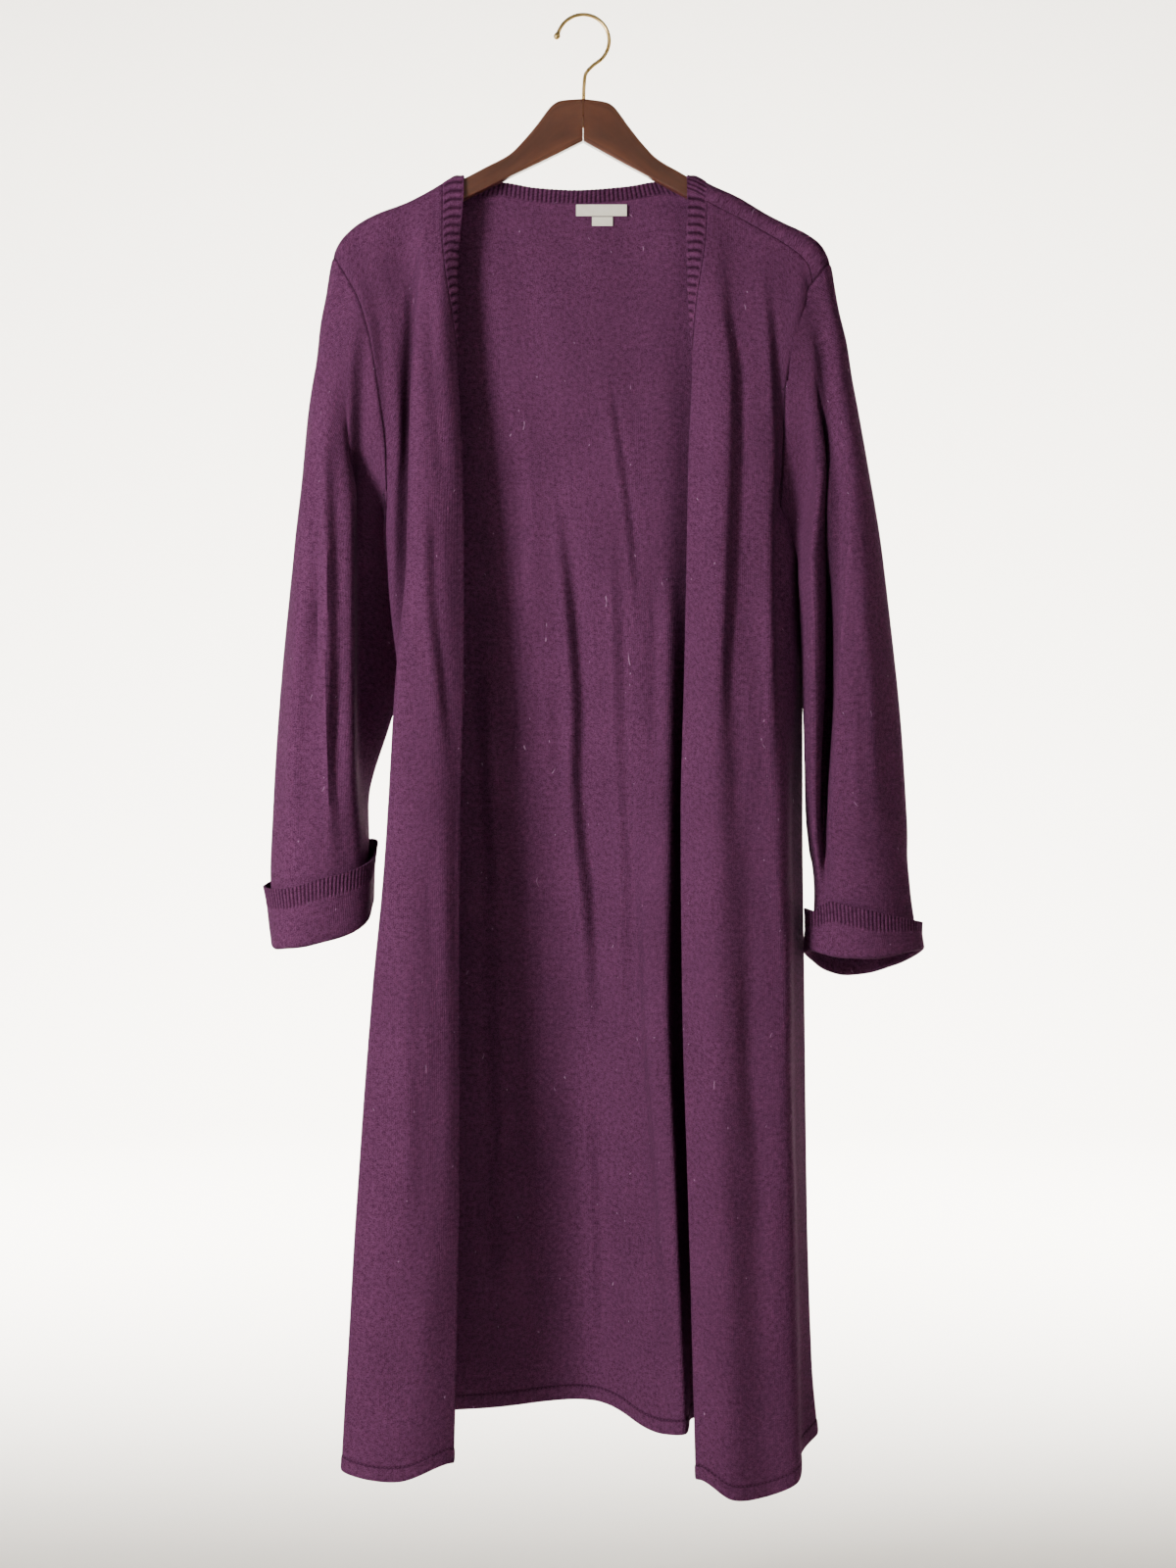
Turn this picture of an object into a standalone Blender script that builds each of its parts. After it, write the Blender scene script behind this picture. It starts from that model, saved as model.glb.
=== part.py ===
"""A long open-front duster cardigan of fine knit, hung on a wooden hanger.

The frame: +Z up, +X to the right of someone who faces the open front, which looks along -Y.
The origin is the inside top of the hanger's hook. Tables and sizes are in millimetres.

Each cloth piece is a grid of points in the middle of its wall. A panel's sections run
across the body through its named folds, and its columns run from the hem to the shoulder.
Pieces that are sewn together share the points of their seam, so their walls meet in a
mitre there, and each then stands back from the seam by half of SEAM_GAP.
"""

import math

import bpy
import numpy as np

MM = 0.001

# Cloth
WALL = 1.6  # fine jersey knit, with its fuzz
HEM_WALL = 2.6  # the hem is turned up and stitched
SEAM_GAP = 0.3
UNDERARM_GAP = 2.8  # three pieces meet at a sharp fold there
RIB_RISE = 0.9
BAND_WIDTH = 18.0
CUFF_RIB_HEIGHT = 18.0
CUFF_LAYER_GAP = 5.5  # middle of the sleeve wall to middle of the turned-up wall
TURN_RADIUS = 3.6  # the front edge's roll to the inside
TURN_FROM = 150.0  # depth below the hook at which the front edge begins to roll in
TURN_FULL = 235.0  # and at which its roll is full
BAND_HIDES_FROM = 165.0  # the front band turns with it, out of sight
BAND_HIDDEN = 330.0
PANEL_TURNED_IN = 4.0
SHOULDER_RADIUS = 9.0  # the roll of the cloth over a hanger arm

# Hanger and hook
WIRE_RADIUS = 1.55
HOOK_INNER_RADIUS = 20.4
ARM_HALF_THICKNESS = 6.0
ARM_BEVEL = 1.2
ARM_BEVEL_STEPS = 2
WOOD_TOP = -70.3
STEM_X = 0.4
STEM_DEPTH = 24.0
HOOK_S = ((0.9, -57.0), (2.2, -48.5), (7.5, -42.2))  # x and z from the wood to the arc
HOOK_ARC = (-42.0, 158.0, 25)  # degrees from +X, and points
TIP_DIRECTION = (-0.36, -0.93)
TIP_BALL = (  # distance past the arc's end, and radius
    (2.0, 1.55),
    (3.0, 1.75),
    (4.5, 2.3),
    (6.0, 2.3),
    (7.2, 1.5),
    (7.8, 0.6),
)
WIRE_SIDES = 10
BORE_SIDES = 16
BORE_ABOVE = 3.0  # the cutter stands this far out of the wood

# Seams over the shoulders, as distances over the roll from its ridge, + to the front
LEFT_SHOULDER_SEAM = 0.0
RIGHT_SHOULDER_SEAM = 22.0  # the back wraps forward over the right shoulder
QUARTER_ROLL = SHOULDER_RADIUS * math.pi / 2
RIGHT_ROLL_START = RIGHT_SHOULDER_SEAM + 5.0  # where the right front's last share lies

# How far the cloth leans outward at the head of a sleeve, a quarter turn over the roll
LEFT_FRONT_LEAN = 6.5
RIGHT_FRONT_LEAN = 20.0
BACK_LEAN = 5.0
BAND_ALONG = 0.2  # the band's width as a share of the shoulder

# The top of each shoulder: how far along it, then x and z of the ridge of the cloth.
# 0 is where the neck band's seam crosses it, 1 is the head of the sleeve.
LEFT_RIDGE = (
    (-0.2, -100.5, -130.5),
    (0.0, -118.0, -141.0),
    (0.12, -129.0, -147.7),
    (0.34, -150.0, -158.4),
    (0.59, -173.0, -167.0),
    (0.76, -189.0, -175.5),
    (0.89, -202.0, -187.0),
    (0.95, -207.0, -194.5),
    (1.0, -211.0, -204.0),
)
RIGHT_RIDGE = (
    (-0.2, 87.5, -130.5),
    (0.0, 103.5, -140.0),
    (0.14, 118.0, -147.7),
    (0.28, 133.0, -155.3),
    (0.42, 148.0, -163.4),
    (0.68, 174.5, -177.4),
    (0.83, 190.5, -186.5),
    (0.93, 202.0, -196.0),
    (1.0, 208.5, -209.0),
)

# Heights that the fold tables below are given at
LEVELS = (-150, -230, -300, -370, -470, -560, -680, -820, -1000, -1230)

# Each fold of a panel: where it crosses LEVELS, as x and as depth y, and its height at the
# hem. The edge is the tip of the roll along the front opening.
LEFT_FRONT_FOLDS = {
    "edge": {
        "x": (-101, -106, -106, -102, -100, -100, -103, -104, -104, -108),
        "y": (-8, -14, -18, -22, -26, -30, -34, -38, -43, -49),
        "hem": -1211,
    },
    "crown": {
        "x": (-121.5, -123, -126, -124, -124, -127, -132, -138, -145, -152),
        "y": (-9, -20, -27, -33, -38, -42, -47, -53, -58, -64),
        "hem": -1223,
    },
    "ridge": {
        "x": (-128, -139, -144, -146, -148, -155, -162, -174, -187.5, -201),
        "y": (-9, -17, -25, -31, -35, -38, -40, -42, -43, -45),
        "hem": -1217,
    },
    "tuck": {
        "x": (-134, -140, -142, -142, -142, -146, -150, -158, -167, -174),
        "y": (-9, -10, -10, -12, -14, -14, -12, -10, -8, -6),
        "hem": -1207,
    },
}
RIGHT_FRONT_FOLDS = {
    "edge": {
        "x": (90, 89, 92, 89, 87, 85, 82, 83, 88, 94),
        "y": (-8, -14, -18, -22, -27, -31, -36, -42, -50, -56),
        "hem": -1223,
    },
    "crown": {
        "x": (111, 112, 114, 114, 114, 113, 111, 112, 117, 123),
        "y": (-9, -19, -26, -32, -38, -43, -50, -57, -63, -68),
        "hem": -1237,
    },
    "valley": {
        "x": (124, 128, 132, 133, 134, 135, 137, 139, 143, 148),
        "y": (-9, -15, -20, -25, -30, -35, -41, -47, -53, -58),
        "hem": -1237,
    },
    "fold": {
        "x": (140, 150, 151, 151, 152, 160, 162, 166, 170, 176),
        "y": (-9, -14, -19, -23, -28, -34, -41, -45, -48, -50),
        "hem": -1228,
    },
    "tuck": {
        "x": (165, 172, 162, 162, 167, 175, 176, 177, 180, 184),
        "y": (-9, -12, -16, -15, -12, -9, -9, -11, -13, -15),
        "hem": -1209,
    },
}
BACK_FOLDS = {
    "left_fold": {
        "x": (-150, -152, -148, -142, -137, -129, -131, -135, -139, -146),
        "y": (10, 15, 17, 18, 20, 24, 30, 36, 40, 44),
        "hem": -1190,
    },
    "hollow": {
        "x": (-78, -84, -82, -79, -71, -68, -78, -82, -80, -78),
        "y": (14, 15, 16, 18, 22, 26, 32, 38, 44, 48),
        "hem": -1184,
    },
    "crease": {
        "x": (-22, -20, -18, -16, -14, -5, -1, 7, 12, 12),
        "y": (18, 16, 16, 17, 20, 24, 33, 41, 50, 58),
        "hem": -1180,
    },
    "ridge": {
        "x": (26, 30, 30, 31, 32, 35, 40, 48, 62, 70),
        "y": (18, 15, 13, 12, 11, 12, 15, 15, 10, -2),
        "hem": -1197,
    },
    "right_fold": {
        "x": (62, 66, 66, 68, 70, 72, 72, 70, 77, 85),
        "y": (15, 14, 13, 12, 10, 6, 0, -4, -8, -13),
        "hem": -1195,
    },
    "turn": {
        "x": (88, 90, 90, 90, 89, 87, 84, 82, 87, 93),
        "y": (12, 14, 15, 16, 18, 20, 22, 24, 26, 24),
        "hem": -1189,
    },
    "right_flat": {
        "x": (128, 130, 131, 132, 133, 138, 140, 142, 144, 150),
        "y": (10, 14, 17, 20, 24, 30, 36, 42, 46, 48),
        "hem": -1190,
    },
}

# Each side seam from the hem up to the underarm, then each armhole up to the shoulder
LEFT_SIDE_SEAM = {
    "z": (-1203, -1000, -820, -680, -560, -515, -470, -435, -405),
    "x": (-187, -178, -168, -160, -157, -161, -166, -168, -166.5),
    "y": (8, 10, 10, 8, 5, 4, 3, 1, 0),
}
RIGHT_SIDE_SEAM = {
    "z": (-1197, -1140, -1000, -820, -680, -560, -500, -460, -440, -420),
    "x": (199, 194, 190, 188, 186.5, 186.5, 186, 183, 177.5, 166),
    "y": (6, 8, 12, 14, 14, 14, 14, 10, 6, 0),
}
LEFT_ARMHOLE = {
    "z": (-405, -370, -320, -275, -240, -213),
    "front_x": (-166.5, -166.5, -172, -179, -189, -204),
    "front_y": (0, -8, -14, -15, -13, -9),
    "back_x": (-166.5, -168, -175, -183, -193, -205),
    "back_y": (0, 8, 15, 16, 14, 9),
}
RIGHT_ARMHOLE = {
    "z": (-420, -375, -320, -285, -255, -232),
    "front_x": (166, 168.5, 169.5, 172.5, 179, 184.5),
    "front_y": (0, -9, -14, -15, -13, -9),
    "back_x": (166, 171, 178, 185, 192, 200),
    "back_y": (0, 9, 15, 16, 14, 11),
}

# The back neck, where its rib is sewn to the panel, and the rib's free edge above
NECK_SEAM = {
    "x": (-118, -107, -92, -70, -41, -7, 38, 66, 82, 94, 103.5),
    "y": (9, 12, 14, 16, 17.5, 18, 17.5, 16, 14, 12, 9),
    "z": (-150, -151.5, -150.5, -148.5, -153.5, -155, -152, -147.5, -149, -150, -149),
}
NECK_EDGE = {
    "x": (-100.5, -95, -86, -68, -40, -6, 36, 61, 73, 82, 87.5),
    "y": (9, 9, 9, 9, 9.5, 9.5, 9.5, 9, 9, 9, 9),
    "z": (-137, -137.5, -138, -138.5, -143, -145, -142, -138, -137.5, -137, -137),
}

# The end of a front that is turned in behind its edge, from the edge's tip: a fixed reach
# outward, what the roll's radius adds outward and to the back, and its lift at the hem
TURNED_IN = (
    {"out": 27.0, "out_radii": 0.0, "back_radii": 2.1, "lift": 8.0},
    {"out": 0.0, "out_radii": 1.0, "back_radii": 2.0, "lift": 2.0},
)
TIP_KNOT = len(TURNED_IN)  # the edge's tip among the knots of a section

# Rows up each panel, as shares of its height. The underarm is at UNDERARM_SHARE, and the
# last share is where the roll over the hanger arm begins.
UNDERARM_SHARE = 0.8
ARMHOLE_STEPS = 8
BODY_ROWS = (0.0, 0.0112, 0.0122, 0.06, 0.14, 0.24, 0.35, 0.46, 0.56, 0.65, 0.73, 0.77)
HEM_SHARE = 0.05  # the hem's own dips fade out by this share
FRONT_SETTLES_FROM = 0.9  # above this share a panel eases to the line of the shoulder
BACK_SETTLES_FROM = 0.62

# Steps between the folds across each panel, and over the roll of each shoulder
LEFT_FRONT_STEPS = (5, 3, 2, 4)
RIGHT_FRONT_STEPS = (5, 3, 3, 3, 3)
BACK_STEPS = (3, 4, 3, 3, 3, 2, 2, 5)
FIRST_STEPS_CROWD = 1.35  # a front's first columns stand closer together, at its edge
LEFT_ROLL_STEPS = 3
RIGHT_ROLL_STEPS = 1
BACK_ROLL_STEPS = 6
BAND_COLUMNS = 4
SAMPLES = 14  # points of a section's curve between two of its folds
# The fronts' columns that the back's own columns meet along each shoulder
LEFT_SHOULDER_COLUMNS = (0, 10, 11, 12, 13, 14)
RIGHT_SHOULDER_COLUMNS = (0, 8, 11, 14, 15, 16, 17)
BAND_RIBS_FROM = 0.84  # below this share the band is out of sight, and plain
BAND_STEPS_PER_ROW = 7
NECK_RIB_PITCH = 3.8
CUFF_STEPS = 4  # half ribs between two columns of the sleeve

# Sections of each sleeve, from the upper arm to the fold of the turn-up: x, y and z of
# each named fold. FOLD_PLACES says where each fold leaves the armhole: 0 is the underarm,
# 0.5 is the shoulder and 1 is the underarm again, the front first.
LEFT_FOLD_PLACES = {
    "underarm": 0.0,
    "step": 0.16,
    "lobe_edge": 0.26,
    "lobe_crest": 0.33,
    "lobe_side": 0.39,
    "outer": 0.45,
    "back_outer": 0.66,
    "back_inner": 0.84,
}
LEFT_SLEEVE = {
    "upper": (
        (-161, 27, -474),
        (-187, 8, -464),
        (-195, -20, -458),
        (-219, -33, -452),
        (-237, -21, -448),
        (-243, 2, -446),
        (-228, 32, -452),
        (-190, 46, -464),
    ),
    "elbow": (
        (-160, 31, -572),
        (-187, 6, -568),
        (-195, -24, -565),
        (-217, -36, -563),
        (-243, -25, -561),
        (-254, 0, -560),
        (-238, 30, -563),
        (-196, 46, -568),
    ),
    "forearm": (
        (-184, 31, -662),
        (-186, 4, -668),
        (-190, -24, -672),
        (-214, -37, -674),
        (-247, -27, -676),
        (-261, -2, -676),
        (-248, 24, -672),
        (-215, 38, -666),
    ),
    "wrist": (
        (-184, 26, -694),
        (-183, 4, -704),
        (-187, -20, -716),
        (-213, -34, -726),
        (-246, -29, -732),
        (-262, -6, -732),
        (-249, 20, -722),
        (-214, 34, -704),
    ),
    "turn": (
        (-186, 22, -740),
        (-184, 2, -752),
        (-188, -17, -764),
        (-214, -31, -776),
        (-243, -28, -782),
        (-257, -8, -782),
        (-247, 17, -774),
        (-216, 30, -756),
    ),
}
RIGHT_FOLD_PLACES = {
    "underarm": 0.0,
    "strip": 0.24,
    "valley": 0.31,
    "lobe_edge": 0.37,
    "lobe_crest": 0.44,
    "outer": 0.52,
    "back_outer": 0.68,
    "back_inner": 0.85,
}
RIGHT_SLEEVE = {
    "upper": (
        (183, -9, -480),
        (192, -24, -474),
        (204, 0, -466),
        (210, -25, -460),
        (229, -37, -454),
        (251, -4, -448),
        (240, 30, -454),
        (204, 34, -470),
    ),
    "elbow": (
        (186, -13, -574),
        (192, -27, -570),
        (204, -2, -566),
        (209, -27, -564),
        (232, -38, -562),
        (264, -4, -560),
        (250, 30, -563),
        (208, 32, -570),
    ),
    "forearm": (
        (189, -9, -682),
        (194, -24, -681),
        (203, -6, -680),
        (206, -27, -680),
        (234, -38, -680),
        (272, -6, -679),
        (259, 26, -680),
        (216, 30, -682),
    ),
    "wrist": (
        (195, -3, -738),
        (198, -16, -736),
        (203, -20, -736),
        (210, -29, -738),
        (238, -37, -742),
        (275, -8, -744),
        (262, 22, -748),
        (222, 28, -746),
    ),
    "turn": (
        (192, -9, -786),
        (195, -17, -785),
        (202, -23, -787),
        (212, -30, -789),
        (240, -36, -790),
        (281, -9, -785),
        (262, 22, -800),
        (222, 28, -808),
    ),
}
# How far each cuff is turned up, at each fold
LEFT_TURN_UP = (46, 47, 50, 51, 47, 49, 50, 48)
RIGHT_TURN_UP = (33, 30, 37, 43, 37, 20, 40, 44)
CUFF_RIB_SHARE = 0.48  # the rib is lower where the turn-up is low
CUFF_ROWS = (0.08, 0.3, 0.62)  # rows of the turn-up below its rib, as shares
CUFF_FLARE = (0.0, 0.4, 1.4)  # how far each row of the rib stands out, and the lip most
CUFF_FOLD_DROP = 0.9  # the fold's depth below the turn, in half layer gaps
SLEEVE_ROOT = 6.0  # the sleeve stands out this far from its seam before it hangs
SHOULDER_ROOT = 2.6  # but only this far at the top of the shoulder
SHOULDER_DROP = 14.0  # where it falls this far
# At the underarm it stands out less, and back or forward instead, to lie past the body
LEFT_UNDERARM_ROOT = (1.0, 5.0, -3.0)
RIGHT_UNDERARM_ROOT = (6.0, 1.0, -5.0)
UNDERARM_REACH = 0.3  # the share of the armhole's height that this eases out over
SLEEVE_RINGS = (0.3, 0.65, 1.0, 1.5, 2.0, 2.5, 3.0, 3.5, 4.0, 4.5, 5.0)  # in sections

# The label under the neck rib, and the tab below it, as left, right, top and bottom
LABEL_BOX = (-6.0, 37.0, -156.0, -165.8)
TAB_BOX = (7.5, 25.0, -166.4, -174.0)
TAPE_HEIGHT = 4.2
TAPE_DROP = 0.9
TAPE_REACH = 88.0
TAPE_COLUMNS = 15
TRIM_WALL = 0.7
TRIM_GAP = 0.45
TRIM_ROWS = 5  # rows of the back panel under the neck that the trims lie on

# A hanger arm from the joint at the centre, along the top to the tip and back below. The
# hanger hangs a little lower on its right.
HANGER_TILT = 1.6  # degrees
ARM_OUTLINE = (
    (0.0, -70.3),
    (20.5, -72.5),
    (26.0, -75.5),
    (37.5, -91.5),
    (51.0, -108.0),
    (62.0, -119.0),
    (82.5, -130.6),
    (94.0, -137.0),
    (130.0, -156.5),
    (150.0, -167.5),
    (181.0, -183.0),
    (188.0, -188.0),
    (189.5, -194.5),
    (184.0, -199.0),
    (130.0, -173.0),
    (96.0, -155.8),
    (83.0, -148.8),
    (62.0, -138.0),
    (32.0, -123.0),
    (0.0, -106.2),
)

DIAGONAL_ORDER = (0.37, 0.11, 1.0)  # ranks the points of a seam, mostly by height

KNIT = (0.085, 0.018, 0.075, 1.0)
KNIT_DARK = (0.070, 0.015, 0.062, 1.0)
SATIN = (0.78, 0.74, 0.64, 1.0)
WALNUT = (0.085, 0.024, 0.012, 1.0)
BRASS = (0.60, 0.42, 0.16, 1.0)


# ---------------------------------------------------------------- curves and grids


def steady_curve(knots, values, at):
    """A curve through values at rising knots that never overshoots them."""
    knots = np.asarray(knots, float)
    values = np.asarray(values, float)
    if knots[0] > knots[-1]:
        knots = knots[::-1]
        values = values[::-1]
    steps = np.diff(knots)
    rates = np.diff(values) / steps
    slopes = np.concatenate([rates[:1], np.zeros(len(rates) - 1), rates[-1:]])
    same_way = rates[:-1] * rates[1:] > 0
    before = np.where(same_way, rates[:-1], 1.0)
    after = np.where(same_way, rates[1:], 1.0)
    slopes[1:-1] = np.where(same_way, 2 * before * after / (before + after), 0.0)
    at = np.clip(at, knots[0], knots[-1])
    which = np.clip(np.searchsorted(knots, at) - 1, 0, len(steps) - 1)
    s = (at - knots[which]) / steps[which]
    return (
        values[which] * (1 + 2 * s) * (1 - s) ** 2
        + values[which + 1] * s * s * (3 - 2 * s)
        + steps[which] * slopes[which] * s * (1 - s) ** 2
        + steps[which] * slopes[which + 1] * s * s * (s - 1)
    )


def round_curve(points, places, closed=False):
    """Points (..., knots, 3) joined by a smooth curve, read at places counted in knots.

    Each knot's direction is the mean of its two chords, weighted so that a short chord
    counts for more, which keeps the curve round at close knots.
    """
    points = np.asarray(points, float)
    if closed:
        points = np.concatenate(
            [points[..., -1:, :], points, points[..., :2, :]], axis=-2
        )
    else:
        first = 2 * points[..., :1, :] - points[..., 1:2, :]
        last = 2 * points[..., -1:, :] - points[..., -2:-1, :]
        points = np.concatenate([first, points, last], axis=-2)
    chords = np.diff(points, axis=-2)
    lengths = np.linalg.norm(chords, axis=-1, keepdims=True) + 1e-9
    rates = chords / lengths
    before = lengths[..., :-1, :]
    after = lengths[..., 1:, :]
    slopes = (rates[..., :-1, :] * after + rates[..., 1:, :] * before) / (before + after)
    places = np.asarray(places, float)
    which = np.clip(np.floor(places).astype(int), 0, slopes.shape[-2] - 2)
    s = (places - which)[:, None]
    start = points[..., which + 1, :]
    end = points[..., which + 2, :]
    reach = lengths[..., which + 1, :]
    return (
        start * (1 + 2 * s) * (1 - s) ** 2
        + end * s * s * (3 - 2 * s)
        + reach * slopes[..., which, :] * s * (1 - s) ** 2
        + reach * slopes[..., which + 1, :] * s * s * (s - 1)
    )


def soft_step(value, low, high):
    """0 up to low, 1 from high, smooth between."""
    s = np.clip((value - low) / (high - low), 0, 1)
    return s * s * (3 - 2 * s)


def unit(vectors):
    return vectors / (np.linalg.norm(vectors, axis=-1, keepdims=True) + 1e-12)


def grid_normals(grid, wraps, present):
    """The outward direction at each point of a grid: the mean over its faces."""
    if wraps:
        grid = np.concatenate([grid, grid[:, :1]], axis=1)
    along = grid[1:, 1:] - grid[:-1, :-1]
    across = grid[1:, :-1] - grid[:-1, 1:]
    faces = np.cross(along, across) * present[..., None]
    total = np.zeros_like(grid)
    total[:-1, :-1] += faces
    total[1:, :-1] += faces
    total[:-1, 1:] += faces
    total[1:, 1:] += faces
    if wraps:
        total[:, 0] += total[:, -1]
        total = total[:, :-1]
    return total


class Cloth:
    """One cloth piece: the grid in the middle of its wall, rows upwards, and what is
    particular to it. present is False for a grid face that the piece does not have."""

    def __init__(self, name, grid, wraps=False, present=None, faces_in=False):
        self.name = name
        self.grid = grid
        self.wraps = wraps
        columns = grid.shape[1] if wraps else grid.shape[1] - 1
        if present is None:
            present = np.ones((grid.shape[0] - 1, columns), bool)
        self.present = present
        self.normals = grid_normals(grid, wraps, present)
        if faces_in:
            self.normals = -self.normals
        self.faces_in = faces_in
        self.wall = np.full(grid.shape[:2], WALL)
        self.gap = np.full(grid.shape[:2], SEAM_GAP)
        self.rise_out = np.zeros(grid.shape[:2])
        self.rise_in = np.zeros(grid.shape[:2])


def share_seam_normals(cloths):
    """Where pieces share a point, they share the mean of their outward directions."""
    points = np.concatenate([cloth.grid.reshape(-1, 3) for cloth in cloths])
    normals = np.concatenate([unit(cloth.normals).reshape(-1, 3) for cloth in cloths])
    keys = np.round(points / 0.002).astype(np.int64)
    _, same = np.unique(keys, axis=0, return_inverse=True)
    same = same.reshape(-1)
    total = np.zeros((same.max() + 1, 3))
    np.add.at(total, same, normals)
    shared = unit(total)[same]
    start = 0
    for cloth in cloths:
        count = cloth.grid.shape[0] * cloth.grid.shape[1]
        cloth.normals = shared[start : start + count].reshape(cloth.grid.shape)
        start += count


def stand_back(cloth):
    """Draws a piece's border points back from its seams by half of the gap.

    Each quarter of faces that is missing round a point pushes the point away from it."""
    grid = cloth.grid
    if cloth.wraps:
        faces = np.concatenate([cloth.present[:, -1:], cloth.present], axis=1)
        across = unit(np.roll(grid, -1, axis=1) - np.roll(grid, 1, axis=1))
    else:
        faces = np.pad(cloth.present, ((0, 0), (1, 1)))
        across = unit(np.gradient(grid, axis=1))
    faces = np.pad(faces, ((1, 1), (0, 0)))
    upward = unit(np.gradient(grid, axis=0))
    missing = 1.0 - faces
    low_left = missing[:-1, :-1]
    low_right = missing[:-1, 1:]
    high_left = missing[1:, :-1]
    high_right = missing[1:, 1:]
    up = np.clip(low_left + low_right - high_left - high_right, -1, 1)
    right = np.clip(low_left + high_left - low_right - high_right, -1, 1)
    move = upward * up[..., None] + across * right[..., None]
    cloth.grid = grid + move * cloth.gap[..., None] / 2


def divide(values, rows, columns, wraps=False):
    """A grid with each step between rows, and each between columns, cut in equal steps.

    rows and columns give the number of steps for each."""
    if wraps:
        values = np.concatenate([values, values[:, :1]], axis=1)
    for axis, steps in ((0, rows), (1, columns)):
        places = np.concatenate(
            [index + np.arange(count) / count for index, count in enumerate(steps)]
            + [[len(steps)]]
        )
        low = np.clip(np.floor(places).astype(int), 0, len(steps) - 1)
        share = (places - low).reshape((-1, 1, 1) if axis == 0 else (1, -1, 1))
        first = np.take(values, low, axis=axis)
        second = np.take(values, low + 1, axis=axis)
        values = first * (1 - share) + second * share
    return values[:, :-1] if wraps else values


# ---------------------------------------------------------------- the cloth's surfaces


def shoulder(side, along, over):
    """The cloth over a hanger arm: along it from neck (0) to sleeve (1), and over the roll
    by a distance from its ridge, + to the front. Straight down past a quarter turn."""
    table = np.array(LEFT_RIDGE if side < 0 else RIGHT_RIDGE)
    along, over = np.broadcast_arrays(along, over)
    x = steady_curve(table[:, 0], table[:, 1], along)
    top = steady_curve(table[:, 0], table[:, 2], along)
    turn = np.clip(over / SHOULDER_RADIUS, -math.pi / 2, math.pi / 2)
    straight = np.abs(over) - SHOULDER_RADIUS * np.abs(turn)
    y = -SHOULDER_RADIUS * np.sin(turn)
    z = top - SHOULDER_RADIUS * (1 - np.cos(turn)) - straight
    front_lean = LEFT_FRONT_LEAN if side < 0 else RIGHT_FRONT_LEAN
    reach = np.where(over > 0, front_lean, BACK_LEAN) * np.clip(along, 0, 1) ** 4
    past_turn = np.where(over > 0, front_lean - LEFT_FRONT_LEAN, 0.0)
    limit = QUARTER_ROLL + past_turn
    lean = reach * np.minimum(np.abs(over) / limit, 1.0) ** 1.2
    return np.stack([x - side * lean, y, z], axis=-1)


def body_shares():
    """The rows of every body panel: sparse to the underarm, then one for each step up
    the armhole, which the sleeve's head shares."""
    armhole = np.linspace(UNDERARM_SHARE, 1.0, ARMHOLE_STEPS + 1)
    return np.concatenate([BODY_ROWS, armhole])


def side_line(side, which, shares):
    """The side seam up to the underarm, then the front or the back edge of the armhole."""
    seam = LEFT_SIDE_SEAM if side < 0 else RIGHT_SIDE_SEAM
    armhole = LEFT_ARMHOLE if side < 0 else RIGHT_ARMHOLE
    low = np.minimum(shares, UNDERARM_SHARE) / UNDERARM_SHARE
    z_low = seam["z"][0] + (seam["z"][-1] - seam["z"][0]) * low
    high = np.maximum(shares - UNDERARM_SHARE, 0) / (1 - UNDERARM_SHARE)
    top = shoulder(side, 1.0, start_of_roll(side, which))[2]
    z_high = seam["z"][-1] + (top - seam["z"][-1]) * high
    above = shares > UNDERARM_SHARE
    points = []
    for axis in ("x", "y"):
        below_part = steady_curve(seam["z"], seam[axis], z_low)
        above_part = steady_curve(armhole["z"], armhole[f"{which}_{axis}"], z_high)
        points.append(np.where(above, above_part, below_part))
    return np.stack([points[0], points[1], np.where(above, z_high, z_low)], axis=-1)


def start_of_roll(side, which):
    """Where a panel's last share lies on the shoulder, as a distance over the roll."""
    if which == "back":
        return -QUARTER_ROLL
    return QUARTER_ROLL if side < 0 else RIGHT_ROLL_START


def fold_line(fold, shares, top):
    """A fold from its hem to the height top, read from the tables at LEVELS."""
    z = fold["hem"] + (top - fold["hem"]) * shares
    x = steady_curve(LEVELS, fold["x"], z)
    y = steady_curve(LEVELS, fold["y"], z)
    return np.stack([x, y, z], axis=-1)


def visible_band(z):
    """How much of the front band shows outside at a height, from its seam to the edge.
    Below 0, the panel itself is turned in too."""
    hidden = soft_step(-z, BAND_HIDES_FROM, BAND_HIDDEN)
    return BAND_WIDTH - (BAND_WIDTH + PANEL_TURNED_IN) * hidden


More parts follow.
